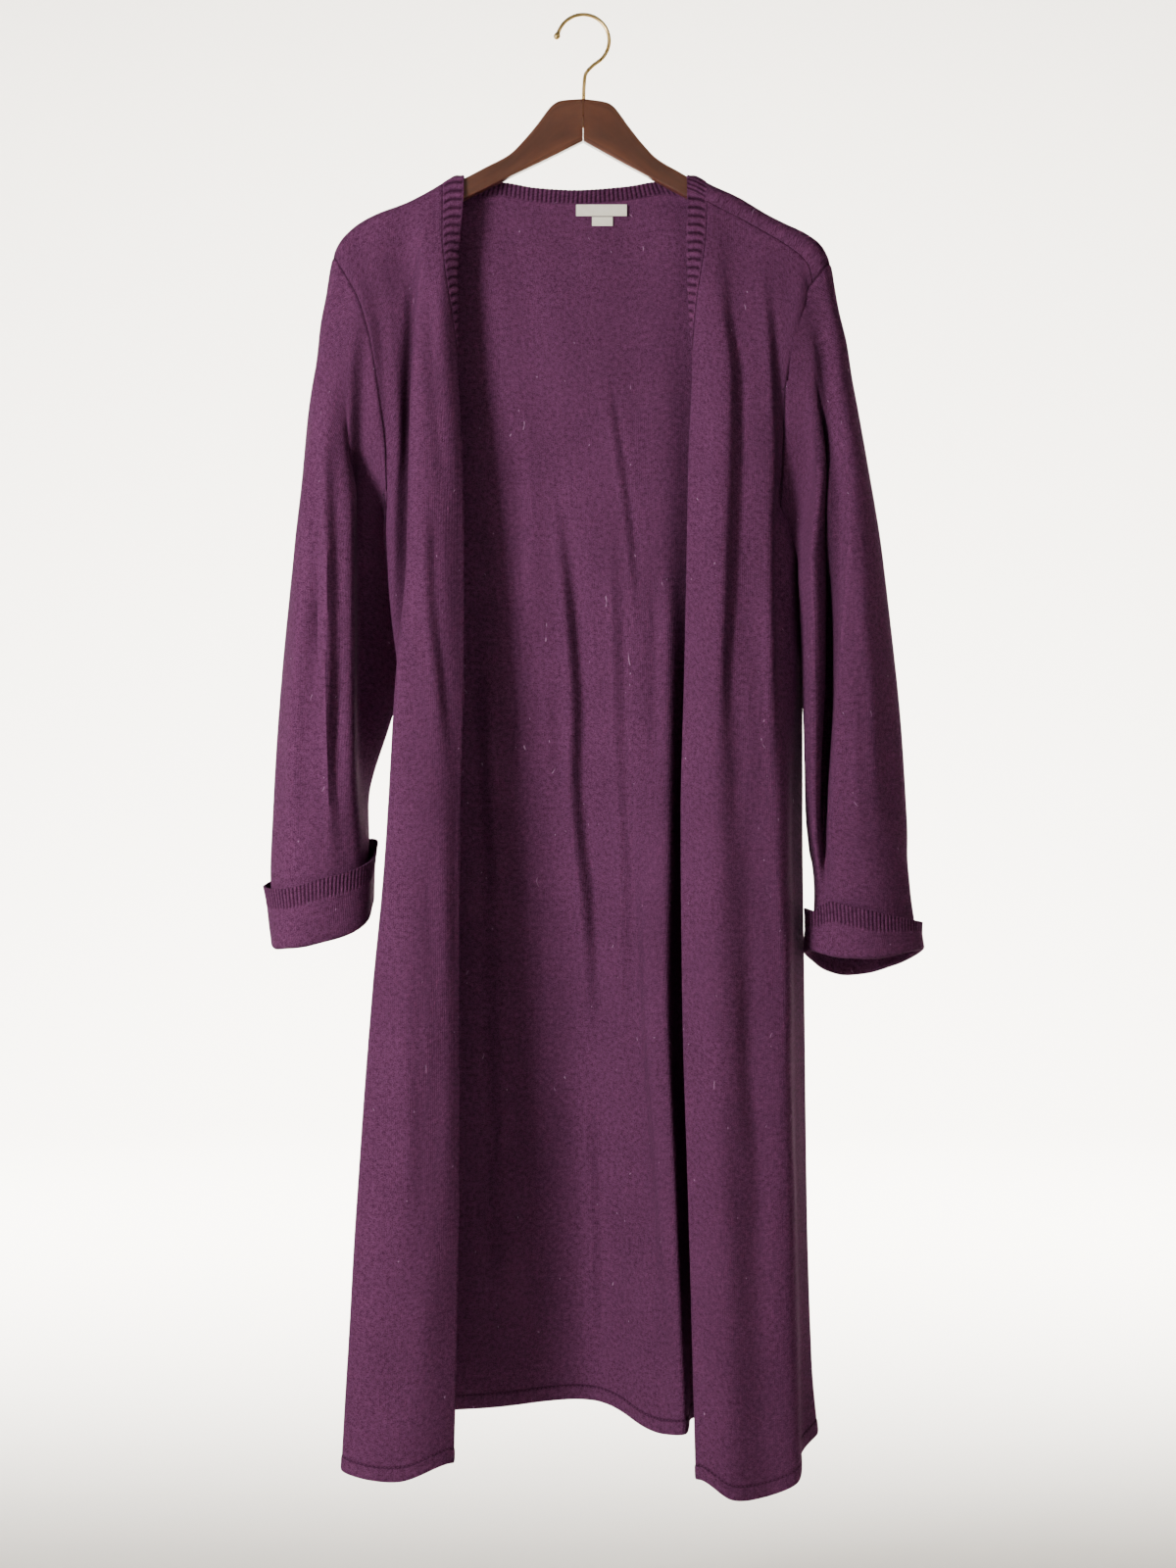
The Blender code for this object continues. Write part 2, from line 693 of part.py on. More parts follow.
def front_section_knots(side, shares):
    """The knots of a front's sections: the turned-in end, the roll, and each fold."""
    folds = LEFT_FRONT_FOLDS if side < 0 else RIGHT_FRONT_FOLDS
    ridge = np.array(LEFT_RIDGE if side < 0 else RIGHT_RIDGE)
    over = start_of_roll(side, "front")
    tops = []
    for fold in folds.values():
        order = np.argsort(side * ridge[:, 1])
        along = np.interp(side * fold["x"][0], side * ridge[order, 1], ridge[order, 0])
        tops.append(float(shoulder(side, along, over)[2]))
    lines = [fold_line(f, shares, top) for f, top in zip(folds.values(), tops)]
    edge = lines[0]
    radius = TURN_RADIUS * soft_step(-edge[:, 2], TURN_FROM, TURN_FULL) + SEAM_GAP
    at_hem = soft_step(HEM_SHARE - shares, 0.0, HEM_SHARE)
    turned = []
    for row in TURNED_IN:
        reach = row["out"] + row["out_radii"] * radius
        offset = np.stack([side * reach, radius * row["back_radii"], at_hem * row["lift"]], axis=-1)
        turned.append(edge + offset)
    roll_out = edge + np.stack([side * radius, 0 * radius, 0 * radius], axis=-1)
    tip = edge + np.stack([0 * radius, radius, 0 * radius], axis=-1)
    side_points = side_line(side, "front", shares)
    knots = turned + [tip, roll_out] + lines[1:] + [side_points]
    return np.stack(knots, axis=1)


def front_surfaces(side):
    """The front panel and its band, as two grids that share the band's seam."""
    shares = body_shares()
    knots = front_section_knots(side, shares)
    count = knots.shape[1]
    places = np.linspace(0, count - 1, (count - 1) * SAMPLES + 1)
    dense = round_curve(knots, places)
    lengths = np.linalg.norm(np.diff(dense, axis=1), axis=-1)
    arcs = np.concatenate([np.zeros((len(shares), 1)), np.cumsum(lengths, axis=1)], axis=1)
    arcs -= arcs[:, TIP_KNOT * SAMPLES][:, None]
    knot_arcs = arcs[:, ::SAMPLES]
    seam_arc = visible_band(knots[:, TIP_KNOT, 2])
    steps = LEFT_FRONT_STEPS if side < 0 else RIGHT_FRONT_STEPS
    stops = [seam_arc] + [knot_arcs[:, TIP_KNOT + 2 + i] for i in range(len(steps))]
    columns = [seam_arc]
    for number, (start, end, cuts) in enumerate(zip(stops[:-1], stops[1:], steps)):
        power = FIRST_STEPS_CROWD if number == 0 else 1.0
        for cut in range(1, cuts + 1):
            columns.append(start + (end - start) * (cut / cuts) ** power)
    panel_arcs = np.stack(columns, axis=1)
    widths = np.linspace(-BAND_WIDTH, 0, BAND_COLUMNS)
    band_arcs = seam_arc[:, None] + widths[None, :]

    def read(wanted):
        return np.stack(
            [
                np.stack([np.interp(w, a, d[:, k]) for k in range(3)], axis=-1)
                for w, a, d in zip(wanted, arcs, dense)
            ]
        )

    panel = read(panel_arcs)
    band = read(band_arcs)
    panel[:, -1] = knots[:, -1]
    along = (panel_arcs[-1] - seam_arc[-1]) / (panel_arcs[-1, -1] - seam_arc[-1])
    band_along = np.linspace(-BAND_ALONG, 0.0, BAND_COLUMNS)
    start = start_of_roll(side, "front")
    seam = LEFT_SHOULDER_SEAM if side < 0 else RIGHT_SHOULDER_SEAM
    roll_steps = LEFT_ROLL_STEPS if side < 0 else RIGHT_ROLL_STEPS
    roll = np.linspace(start, seam, roll_steps + 1)
    blend = soft_step(shares, FRONT_SETTLES_FROM, 1.0)[:, None, None]
    finished = []
    for grid, shares_along in ((band, band_along), (panel, along)):
        target = shoulder(side, shares_along, start)
        grid = grid + (target - grid[-1])[None] * blend
        over = shoulder(side, shares_along[None, :], roll[1:, None])
        finished.append(np.concatenate([grid, over], axis=0))
    finished[1][: len(shares) - 1, -1] = knots[:-1, -1]
    return finished[0], finished[1], along


def back_surface(left_along, right_along):
    """The back panel, whose columns run left shoulder, neck, right shoulder, and the mask
    of its faces: the neck has none above the last share."""
    shares = body_shares()
    folds = list(BACK_FOLDS.values())
    tops = np.interp([fold["x"][0] for fold in folds], NECK_SEAM["x"], NECK_SEAM["z"])
    left = side_line(-1, "back", shares)
    right = side_line(1, "back", shares)
    lines = [fold_line(f, shares, top) for f, top in zip(folds, tops)]
    knots = np.stack([left] + lines + [right], axis=1)
    places = np.concatenate(
        [number + np.arange(cuts) / cuts for number, cuts in enumerate(BACK_STEPS)]
        + [[len(BACK_STEPS)]]
    )
    grid = round_curve(knots, places)
    left_tops = shoulder(-1, left_along[::-1], -QUARTER_ROLL)
    right_tops = shoulder(1, right_along, -QUARTER_ROLL)
    neck_x = np.array(NECK_SEAM["x"])[1:-1]
    neck_count = len(places) - len(left_along) - len(right_along)
    neck_shares = np.linspace(0, len(neck_x) - 1, neck_count)
    neck = np.stack(
        [
            np.interp(neck_shares, np.arange(len(neck_x)), NECK_SEAM[axis][1:-1])
            for axis in ("x", "y", "z")
        ],
        axis=-1,
    )
    target = np.concatenate([left_tops, neck, right_tops])
    blend = soft_step(shares, BACK_SETTLES_FROM, 1.0)[:, None, None]
    grid = grid + (target - grid[-1])[None] * blend
    grid[:, 0] = left
    grid[:, -1] = right
    grid[-1, 0] = target[0]
    grid[-1, -1] = target[-1]
    rows = BACK_ROLL_STEPS
    left_roll = np.linspace(-QUARTER_ROLL, LEFT_SHOULDER_SEAM, rows + 1)[1:]
    right_roll = np.linspace(-QUARTER_ROLL, RIGHT_SHOULDER_SEAM, rows + 1)[1:]
    over = np.repeat(grid[-1:], rows, axis=0)
    over[:, : len(left_along)] = shoulder(-1, left_along[None, ::-1], left_roll[:, None])
    over[:, -len(right_along) :] = shoulder(1, right_along[None, :], right_roll[:, None])
    present = np.ones((len(shares) - 1 + rows, len(places) - 1), bool)
    present[len(shares) - 1 :, len(left_along) - 1 : -(len(right_along) - 1)] = False
    return np.concatenate([grid, over]), present


def neck_rib_surface(back, left_count, right_count):
    """The strip round the back neck: over the left arm, along the neck and over the right
    arm. Its seam row is the back panel's own edge."""
    last = len(body_shares()) - 1
    seam_left = back[last:, left_count - 1][::-1]
    seam_neck = back[last, left_count:-right_count]
    seam_right = back[last:, -right_count]
    edge_neck = np.stack(
        [
            np.interp(
                np.linspace(1, len(NECK_EDGE["x"]) - 2, len(seam_neck)),
                np.arange(len(NECK_EDGE["x"])),
                NECK_EDGE[axis],
            )
            for axis in ("x", "y", "z")
        ],
        axis=-1,
    )
    across = np.linspace(0, 1, BAND_COLUMNS)[:, None, None]
    neck = seam_neck[None] * (1 - across) + edge_neck[None] * across
    roll_left = np.linspace(LEFT_SHOULDER_SEAM, -QUARTER_ROLL, len(seam_left))
    roll_right = np.linspace(-QUARTER_ROLL, RIGHT_SHOULDER_SEAM, len(seam_right))
    over_left = shoulder(-1, -BAND_ALONG * across[..., 0], roll_left[None])
    over_right = shoulder(1, -BAND_ALONG * across[..., 0], roll_right[None])
    return np.concatenate([over_left, neck, over_right], axis=1)


def sleeve_surface(side, front, back):
    """The sleeve from the armhole to the turn at its end, then out and up to the rib, and
    the rib itself, as two grids. Rows run down the sleeve, columns round it."""
    first = len(BODY_ROWS)
    column = 0 if side < 0 else -1
    loop_front = front[first:, -1]
    loop_back = back[first:, column][::-1]
    loop = np.concatenate([loop_front, loop_back[1:-1]])
    count = len(loop)
    places = LEFT_FOLD_PLACES if side < 0 else RIGHT_FOLD_PLACES
    table = LEFT_SLEEVE if side < 0 else RIGHT_SLEEVE
    knots = np.array(list(places.values()) + [1.0]) * count
    along = np.interp(np.arange(count), knots, np.arange(len(knots)))
    sections = [round_curve(np.array(rows, float), along, True) for rows in table.values()]
    height = (loop[:, 2] - loop[0, 2]) / (loop[:, 2].max() - loop[0, 2])
    root = loop.copy()
    root[:, 0] += side * (SLEEVE_ROOT + (SHOULDER_ROOT - SLEEVE_ROOT) * height**2)
    root[:, 2] -= SHOULDER_DROP * height**2
    out, back_off, up_off = LEFT_UNDERARM_ROOT if side < 0 else RIGHT_UNDERARM_ROOT
    underarm_root = loop + np.array([side * out, back_off, up_off])
    near = 1 - soft_step(height, 0.0, UNDERARM_REACH)[:, None]
    root = root * (1 - near) + underarm_root * near
    stations = np.stack([loop, root] + sections, axis=1)
    rings = round_curve(stations, np.concatenate([[0.0, 1.0], 1.0 + np.array(SLEEVE_RINGS)]))
    rings = np.swapaxes(rings, 0, 1)
    rings[0] = loop
    wrist = sections[-2]
    turn = sections[-1]
    rise = unit(wrist - turn)
    tangent = np.roll(turn, -1, axis=0) - np.roll(turn, 1, axis=0)
    out = unit(np.cross(rise, tangent))
    out *= np.sign(np.sum(out * (turn - turn.mean(axis=0)), axis=1).sum())
    half = CUFF_LAYER_GAP / 2
    fold = [turn + out * half - rise * half * CUFF_FOLD_DROP]
    folds_up = np.array(LEFT_TURN_UP if side < 0 else RIGHT_TURN_UP, float)
    turn_up = round_curve(np.repeat(folds_up[:, None], 3, axis=1), along, True)[:, :1]
    seam = turn_up - np.minimum(CUFF_RIB_HEIGHT, CUFF_RIB_SHARE * turn_up)
    layer = turn + out * CUFF_LAYER_GAP
    up = [layer + rise * seam * share for share in CUFF_ROWS + (1.0,)]
    rib = []
    for flare, share in zip(CUFF_FLARE, np.linspace(0, 1, len(CUFF_FLARE))):
        rib.append(layer + out * flare + rise * (seam * (1 - share) + turn_up * share))
    return np.concatenate([rings, np.stack(fold + up)]), np.stack(rib)


def on_back(back, x, z, lift):
    """Points at x and z on the inside of the upper back, lifted off the panel."""
    rows = back[len(body_shares()) - TRIM_ROWS : len(body_shares())]
    heights = np.stack([np.interp(x, row[:, 0], row[:, 2]) for row in rows])
    depths = np.stack([np.interp(x, row[:, 0], row[:, 1]) for row in rows])
    y = [np.interp(level, h, d) for level, h, d in zip(z, heights.T, depths.T)]
    return np.stack([x, np.array(y) - lift, z], axis=-1)


def patch_on_back(back, box, columns, rows, lift):
    """A grid on the inside of the back that fills a box given in x and z."""
    left, right, top, bottom = box
    x = np.linspace(left, right, columns)
    levels = np.linspace(bottom, top, rows)
    return np.stack([on_back(back, x, 0 * x + z, lift) for z in levels])


def tape_on_back(back, lift):
    """The binding: a strip just under the neck rib's seam."""
    x = np.linspace(-TAPE_REACH, TAPE_REACH, TAPE_COLUMNS)
    seam = np.interp(x, NECK_SEAM["x"], NECK_SEAM["z"]) - TAPE_DROP
    return np.stack([on_back(back, x, seam - TAPE_HEIGHT, lift), on_back(back, x, seam, lift)])


# ---------------------------------------------------------------- meshes and materials


def material(name, colour, roughness, metallic=0.0):
    made = bpy.data.materials.new(name)
    made.use_nodes = True
    shader = made.node_tree.nodes["Principled BSDF"]
    shader.inputs["Base Color"].default_value = colour
    shader.inputs["Roughness"].default_value = roughness
    shader.inputs["Metallic"].default_value = metallic
    made.diffuse_color = colour
    return made


def mesh_object(name, points_mm, faces, finish, smooth=True):
    mesh = bpy.data.meshes.new(name)
    mesh.from_pydata((np.asarray(points_mm) * MM).tolist(), [], faces)
    mesh.validate()
    if smooth:
        mesh.shade_smooth()
        mesh.set_sharp_from_angle(angle=math.radians(50))
    made = bpy.data.objects.new(name, mesh)
    made.data.materials.append(finish)
    bpy.context.scene.collection.objects.link(made)
    return made


def build_cloth(cloth, finish):
    """The wall: the grid moved out and in by half the wall, closed along every border."""
    half = (cloth.wall / 2)[..., None]
    out = cloth.grid + cloth.normals * (half + cloth.rise_out[..., None])
    inside = cloth.grid - cloth.normals * (half + cloth.rise_in[..., None])
    rows, columns = cloth.grid.shape[:2]
    number = np.arange(rows * columns).reshape(rows, columns)
    if cloth.wraps:
        number = np.concatenate([number, number[:, :1]], axis=1)
    corners = np.stack(
        [number[:-1, :-1], number[:-1, 1:], number[1:, 1:], number[1:, :-1]], axis=-1
    )[cloth.present]
    if cloth.faces_in:
        corners = corners[:, ::-1]
    edges = np.concatenate([corners[:, [k, (k + 1) % 4]] for k in range(4)])
    size = rows * columns
    forward = edges[:, 0] * size + edges[:, 1]
    backward = edges[:, 1] * size + edges[:, 0]
    border = edges[~np.isin(forward, backward)]
    # Both pieces of a seam cut each quad of their facing edges along the same diagonal
    order = cloth.grid.reshape(-1, 3) @ np.array(DIAGONAL_ORDER)
    a, b = border[:, 0], border[:, 1]
    falls = order[a] > order[b]
    first = np.stack([b, a, np.where(falls, b, a) + size], axis=1)
    second = np.stack([np.where(falls, a, b), a + size, b + size], axis=1)
    quads = np.concatenate([corners, corners[:, ::-1] + size])
    faces = quads.tolist() + first.tolist() + second.tolist()
    points = np.concatenate([out.reshape(-1, 3), inside.reshape(-1, 3)])
    used = np.unique(quads)
    renumber = np.zeros(size * 2, int)
    renumber[used] = np.arange(len(used))
    faces = [[int(renumber[corner]) for corner in face] for face in faces]
    return mesh_object(cloth.name, points[used], faces, finish)


def tube(name, path, radii, sides, finish):
    """A round bar along a path in the XZ plane, with a radius for each of its points."""
    path = np.asarray(path, float)
    radii = np.asarray(radii, float)
    ahead = unit(np.gradient(path, axis=0))
    across = np.stack([-ahead[:, 2], 0 * ahead[:, 0], ahead[:, 0]], axis=1)
    depth = np.array([0.0, 1.0, 0.0])
    turns = np.arange(sides) * 2 * math.pi / sides
    ring = np.cos(turns)[None, :, None] * across[:, None] + np.sin(turns)[None, :, None] * depth
    points = (path[:, None] + ring * radii[:, None, None]).reshape(-1, 3)
    faces = [list(range(sides)), list(range(len(points) - sides, len(points)))[::-1]]
    for row in range(len(path) - 1):
        for k in range(sides):
            a = row * sides + k
            b = row * sides + (k + 1) % sides
            faces.append([a, a + sides, b + sides, b])
    return mesh_object(name, points, faces, finish)


def build_hook(finish):
    """The wire: out of the wood, over in an S to the arc, round it to the ball tip."""
    radius = HOOK_INNER_RADIUS + WIRE_RADIUS
    centre = np.array([0.0, -HOOK_INNER_RADIUS])
    foot = WOOD_TOP - STEM_DEPTH
    stem = np.array([(STEM_X, foot), (STEM_X, WOOD_TOP)] + list(HOOK_S))
    angles = np.radians(np.linspace(*HOOK_ARC))
    arc = centre + radius * np.stack([np.cos(angles), np.sin(angles)], axis=1)
    steps, tip_radii = np.array(TIP_BALL).T
    tip = arc[-1] + np.array(TIP_DIRECTION) * steps[:, None]
    line = np.concatenate([stem, arc, tip])
    path = np.stack([line[:, 0], 0 * line[:, 0], line[:, 1]], axis=1)
    radii = np.concatenate([np.full(len(stem) + len(arc), WIRE_RADIUS), tip_radii])
    return tube("hook", path, radii, WIRE_SIDES, finish)


def build_arm(side, finish, bore):
    """One hanger arm: its outline given a thickness, a bevel, and half of the stem's bore."""
    tilt = math.tan(math.radians(HANGER_TILT))
    outline = []
    for x, z in ARM_OUTLINE:
        across = side * max(x, SEAM_GAP / 2)
        outline.append((across, z - tilt * across))
    count = len(outline)
    points = [(x, -ARM_HALF_THICKNESS, z) for x, z in outline]
    points += [(x, ARM_HALF_THICKNESS, z) for x, z in outline]
    near = list(range(count))
    far = [count + index for index in near]
    around = [
        [k, (k + 1) % count, count + (k + 1) % count, count + k] for k in range(count)
    ]
    faces = [near[::-1], far] + around
    if side < 0:
        faces = [face[::-1] for face in faces]
    name = "hanger_left" if side < 0 else "hanger_right"
    arm = mesh_object(name, points, faces, finish, smooth=False)
    edge = arm.modifiers.new("edges", "BEVEL")
    edge.width = ARM_BEVEL * MM
    edge.segments = ARM_BEVEL_STEPS
    edge.limit_method = "ANGLE"
    edge.angle_limit = math.radians(60)
    cut = arm.modifiers.new("stem_bore", "BOOLEAN")
    cut.operation = "DIFFERENCE"
    cut.object = bore
    return arm


def build_bore():
    """The cutter for the stem's hole, left out of the model itself."""
    top = WOOD_TOP + BORE_ABOVE
    bottom = WOOD_TOP - STEM_DEPTH - SEAM_GAP
    path = [(STEM_X, 0.0, bottom), (STEM_X, 0.0, top)]
    finish = material("bore", (0.5, 0.5, 0.5, 1.0), 0.8)
    bore = tube("stem_bore", path, [WIRE_RADIUS + SEAM_GAP] * 2, BORE_SIDES, finish)
    bore.hide_render = True
    bore.display_type = "WIRE"
    return bore


# ---------------------------------------------------------------- the garment


def ribbed(cloth, rows, columns, ribs_cross_rows, where, face):
    """Cuts a grid finer and raises every second point of it into ribs on one face.

    rows and columns give the steps that each old step is cut into, and where is 1 for the
    old points that show ribs. Ribs that cross the rows alternate from row to row."""
    cloth.grid = divide(cloth.grid, rows, columns, cloth.wraps)
    cloth.normals = unit(divide(cloth.normals, rows, columns, cloth.wraps))
    cloth.wall = divide(cloth.wall[..., None], rows, columns, cloth.wraps)[..., 0]
    where = divide(where[..., None], rows, columns, cloth.wraps)[..., 0]
    height, width = cloth.grid.shape[:2]
    if ribs_cross_rows:
        wave = (np.arange(height) % 2)[:, None]
    else:
        wave = (np.arange(width) % 2)[None, :]
    rise = RIB_RISE * wave * where
    cloth.rise_out = rise if face == "out" else 0 * rise
    cloth.rise_in = rise if face == "in" else 0 * rise
    cloth.present = np.ones((height - 1, width if cloth.wraps else width - 1), bool)


def rib_the_band(band):
    """Ribs across the front band where it shows; below, it is rolled out of sight."""
    shares = body_shares()
    roll_rows = band.grid.shape[0] - len(shares)
    shown = np.concatenate([shares >= BAND_RIBS_FROM, np.ones(roll_rows, bool)])
    steps = [BAND_STEPS_PER_ROW if on else 1 for on in shown[: len(shares) - 1]]
    columns = [1] * (BAND_COLUMNS - 1)
    where = np.repeat(shown[:, None].astype(float), BAND_COLUMNS, axis=1)
    ribbed(band, steps + [1] * roll_rows, columns, True, where, "out")


def rib_the_neck(neck):
    """Ribs from the seam to the free edge, at an even pitch round the neck."""
    middle = neck.grid[neck.grid.shape[0] // 2]
    lengths = np.linalg.norm(np.diff(middle, axis=0), axis=1)
    columns = [max(1, round(float(length) * 2 / NECK_RIB_PITCH)) for length in lengths]
    where = np.ones(neck.grid.shape[:2])
    ribbed(neck, [1] * (BAND_COLUMNS - 1), columns, False, where, "in")


def rib_the_cuff(cuff):
    """Ribs up the cuff. It is turned up, so its own inside is what shows."""
    rows, columns = cuff.grid.shape[:2]
    where = np.ones((rows, columns))
    ribbed(cuff, [1] * (rows - 1), [CUFF_STEPS] * columns, False, where, "in")


def shape_cloth():
    """Every cloth piece's grid, with shared seams, then its gaps, hem and ribs."""
    band_left, front_left, along_left = front_surfaces(-1)
    band_right, front_right, along_right = front_surfaces(1)
    left = along_left[list(LEFT_SHOULDER_COLUMNS)]
    right = along_right[list(RIGHT_SHOULDER_COLUMNS)]
    back, present = back_surface(left, right)
    neck = neck_rib_surface(back, len(left), len(right))
    sleeve_left, cuff_left = sleeve_surface(-1, front_left, back)
    sleeve_right, cuff_right = sleeve_surface(1, front_right, back)
    panels = [
        Cloth("front_left", front_left, faces_in=True),
        Cloth("front_right", front_right),
        Cloth("back", back, present=present, faces_in=True),
    ]
    bands = [
        Cloth("band_left", band_left, faces_in=True),
        Cloth("band_right", band_right),
    ]
    neck_rib = Cloth("neck_rib", neck, faces_in=True)
    sleeves = [
        Cloth("sleeve_left", sleeve_left, wraps=True),
        Cloth("sleeve_right", sleeve_right, wraps=True, faces_in=True),
    ]
    cuffs = [
        Cloth("cuff_rib_left", cuff_left, wraps=True),
        Cloth("cuff_rib_right", cuff_right, wraps=True, faces_in=True),
    ]
    cloths = panels + bands + [neck_rib] + sleeves + cuffs
    share_seam_normals(cloths)
    underarm = len(BODY_ROWS)
    for panel in panels:
        panel.gap[underarm : underarm + 2, [0, -1]] = UNDERARM_GAP
    for sleeve in sleeves:
        sleeve.gap[0, [0, 1, 2, -1, -2]] = UNDERARM_GAP
    for cloth in cloths:
        stand_back(cloth)
    for cloth in panels + bands:
        cloth.wall[:2] = HEM_WALL
    for band in bands:
        rib_the_band(band)
    rib_the_neck(neck_rib)
    for cuff in cuffs:
        rib_the_cuff(cuff)
    return cloths, back


def shape_trim(back):
    """The tape, the label over it and the tab below, laid on the inside of the back."""
    first = WALL / 2 + TRIM_GAP + TRIM_WALL / 2
    second = first + TRIM_WALL + TRIM_GAP
    trims = [
        Cloth("neck_tape", tape_on_back(back, first)),
        Cloth("label", patch_on_back(back, LABEL_BOX, 7, 3, second)),
        Cloth("size_tab", patch_on_back(back, TAB_BOX, 4, 3, first)),
    ]
    for trim in trims:
        trim.normals = unit(trim.normals)
        trim.wall[:] = TRIM_WALL
    return trims


def main():
    for old in list(bpy.data.objects):
        bpy.data.objects.remove(old, do_unlink=True)
    knit = material("plum_knit", KNIT, 0.9)
    rib = material("plum_rib", KNIT_DARK, 0.92)
    satin = material("ivory_satin", SATIN, 0.4)
    walnut = material("dark_walnut", WALNUT, 0.45)
    brass = material("brushed_brass", BRASS, 0.28, 1.0)
    finishes = {"band": rib, "neck": rib, "cuff": rib, "label": satin, "size": satin}
    cloths, back = shape_cloth()
    for cloth in cloths + shape_trim(back):
        build_cloth(cloth, finishes.get(cloth.name.split("_")[0], knit))
    bore = build_bore()
    for side in (-1, 1):
        build_arm(side, walnut, bore)
    build_hook(brass)


main()
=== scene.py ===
"""The looks of a long open-front duster cardigan of plum knit, hung on a walnut hanger.

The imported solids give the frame: +Z up, the open front faces -Y, and the origin is the
inside top of the hook. Every size and place is in millimetres until a mesh is made. Where
a table or a function has sides, -1 is the left, as seen from the front, and 1 the right.
"""

import math

import bpy
import numpy as np
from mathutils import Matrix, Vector


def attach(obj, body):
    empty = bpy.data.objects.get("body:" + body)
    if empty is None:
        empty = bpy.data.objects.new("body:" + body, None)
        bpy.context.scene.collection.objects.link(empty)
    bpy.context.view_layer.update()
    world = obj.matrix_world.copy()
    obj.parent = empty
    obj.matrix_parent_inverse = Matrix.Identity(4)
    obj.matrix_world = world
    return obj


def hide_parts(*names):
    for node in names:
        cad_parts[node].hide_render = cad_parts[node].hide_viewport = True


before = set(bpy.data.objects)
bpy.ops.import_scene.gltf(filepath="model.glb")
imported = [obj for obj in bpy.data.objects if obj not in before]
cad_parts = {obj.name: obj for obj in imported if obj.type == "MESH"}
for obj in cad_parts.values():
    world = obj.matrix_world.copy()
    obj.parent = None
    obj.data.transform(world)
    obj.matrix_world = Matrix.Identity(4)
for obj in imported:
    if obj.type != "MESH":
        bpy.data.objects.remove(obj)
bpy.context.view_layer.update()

# ---------------------------------------------------------------- the hook
# A 3.1 mm brass wire, bent cold: straight out of the wood, over in an S and round in a
# three-quarter bow, with a small ball formed on its tip. The stem is driven into the wood.

MM = 0.001
WIRE_RADIUS = 1.55
WIRE_SIDES = 20
BOW_RADIUS = 21.95  # to the middle of the wire
BOW_HEIGHT = -20.4  # of the bow's middle
BOW_FROM, BOW_TO = -42.0, 158.0  # degrees round the bow
STEM_X = 0.4
STEM_FOOT = -94.0
WOOD_TOP = -70.3
S_BEND = ((0.9, 0, -57.0), (2.2, 0, -48.5), (7.5, 0, -42.2))
TIP_WAY = (-0.36, 0.0, -0.93)
TIP_BALL = (  # distance past the bow, and radius
    (1.6, 1.6), (2.3, 1.95), (3.2, 2.45), (4.6, 2.75), (6.0, 2.6), (7.1, 1.9), (7.7, 1.0),
    (7.9, 0.25),
)


def unit(vectors):
    """Each vector over its own length."""
    return vectors / (np.linalg.norm(vectors, axis=-1, keepdims=True) + 1e-12)


def cubic(start, end, start_slope, end_slope, s):
    """From start to end as s goes from 0 to 1, leaving and arriving at these slopes."""
    return (
        start * (1 + 2 * s) * (1 - s) ** 2
        + end * s * s * (3 - 2 * s)
        + start_slope * s * (1 - s) ** 2
        + end_slope * s * s * (s - 1)
    )


def round_curve(points, places, closed=False):
    """Points (..., knots, 3) joined by a smooth curve, read at places counted in knots.

    Each piece is a cubic whose end directions are the mean of the two chords there,
    weighted so that a short chord counts for more.
    """
    points = np.asarray(points, float)
    if closed:
        points = np.concatenate([points[..., -1:, :], points, points[..., :2, :]], axis=-2)
    else:
        first = 2 * points[..., :1, :] - points[..., 1:2, :]
        last = 2 * points[..., -1:, :] - points[..., -2:-1, :]
        points = np.concatenate([first, points, last], axis=-2)
    chords = np.diff(points, axis=-2)
    lengths = np.linalg.norm(chords, axis=-1, keepdims=True) + 1e-9
    rates = chords / lengths
    before, after = lengths[..., :-1, :], lengths[..., 1:, :]
    slopes = (rates[..., :-1, :] * after + rates[..., 1:, :] * before) / (before + after)
    places = np.asarray(places, float)
    which = np.clip(np.floor(places).astype(int), 0, slopes.shape[-2] - 2)
    reach = lengths[..., which + 1, :]
    leaving, arriving = reach * slopes[..., which, :], reach * slopes[..., which + 1, :]
    ends = points[..., which + 1, :], points[..., which + 2, :]
    return cubic(*ends, leaving, arriving, (places - which)[:, None])


def ring_faces(rings, sides):
    """The faces between rings of the same number of points, each row after row."""
    a = np.arange((rings - 1) * sides)
    b = (a // sides) * sides + (a + 1) % sides
    return np.stack([a, a + sides, b + sides, b], axis=1)


def add_object(name, data):
    """A new object of the scene, at the origin."""
    made = bpy.data.objects.new(name, data)
    bpy.context.scene.collection.objects.link(made)
    return made


def mesh_piece(
    name, points_mm, faces, finish, replaces=(), uv=None, sharp=40, shade=None
):
    """A finished piece: points in millimetres, faces of any number of corners, one
    pattern place (uv, in metres) for each corner of each face where a pattern follows the
    surface, and the shade painted at each point, darkest in its groove (shade, 0 to 1)."""
    mesh = bpy.data.meshes.new(name)
    mesh.from_pydata((np.asarray(points_mm) * MM).tolist(), [], faces)
    if uv is not None:
        layer = mesh.uv_layers.new(name="cloth")
        layer.data.foreach_set("uv", np.asarray(uv, np.float32).ravel())
    if shade is not None:
        mesh.attributes.new("shade", "FLOAT", "POINT").data.foreach_set(
            "value", np.asarray(shade, np.float32))
    mesh.validate()
    mesh.shade_smooth()
    mesh.set_sharp_from_angle(angle=math.radians(sharp))
    mesh.materials.append(finish)
    piece = add_object(name, mesh)
    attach(piece, "root")
    if replaces:
        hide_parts(*replaces)
    return piece


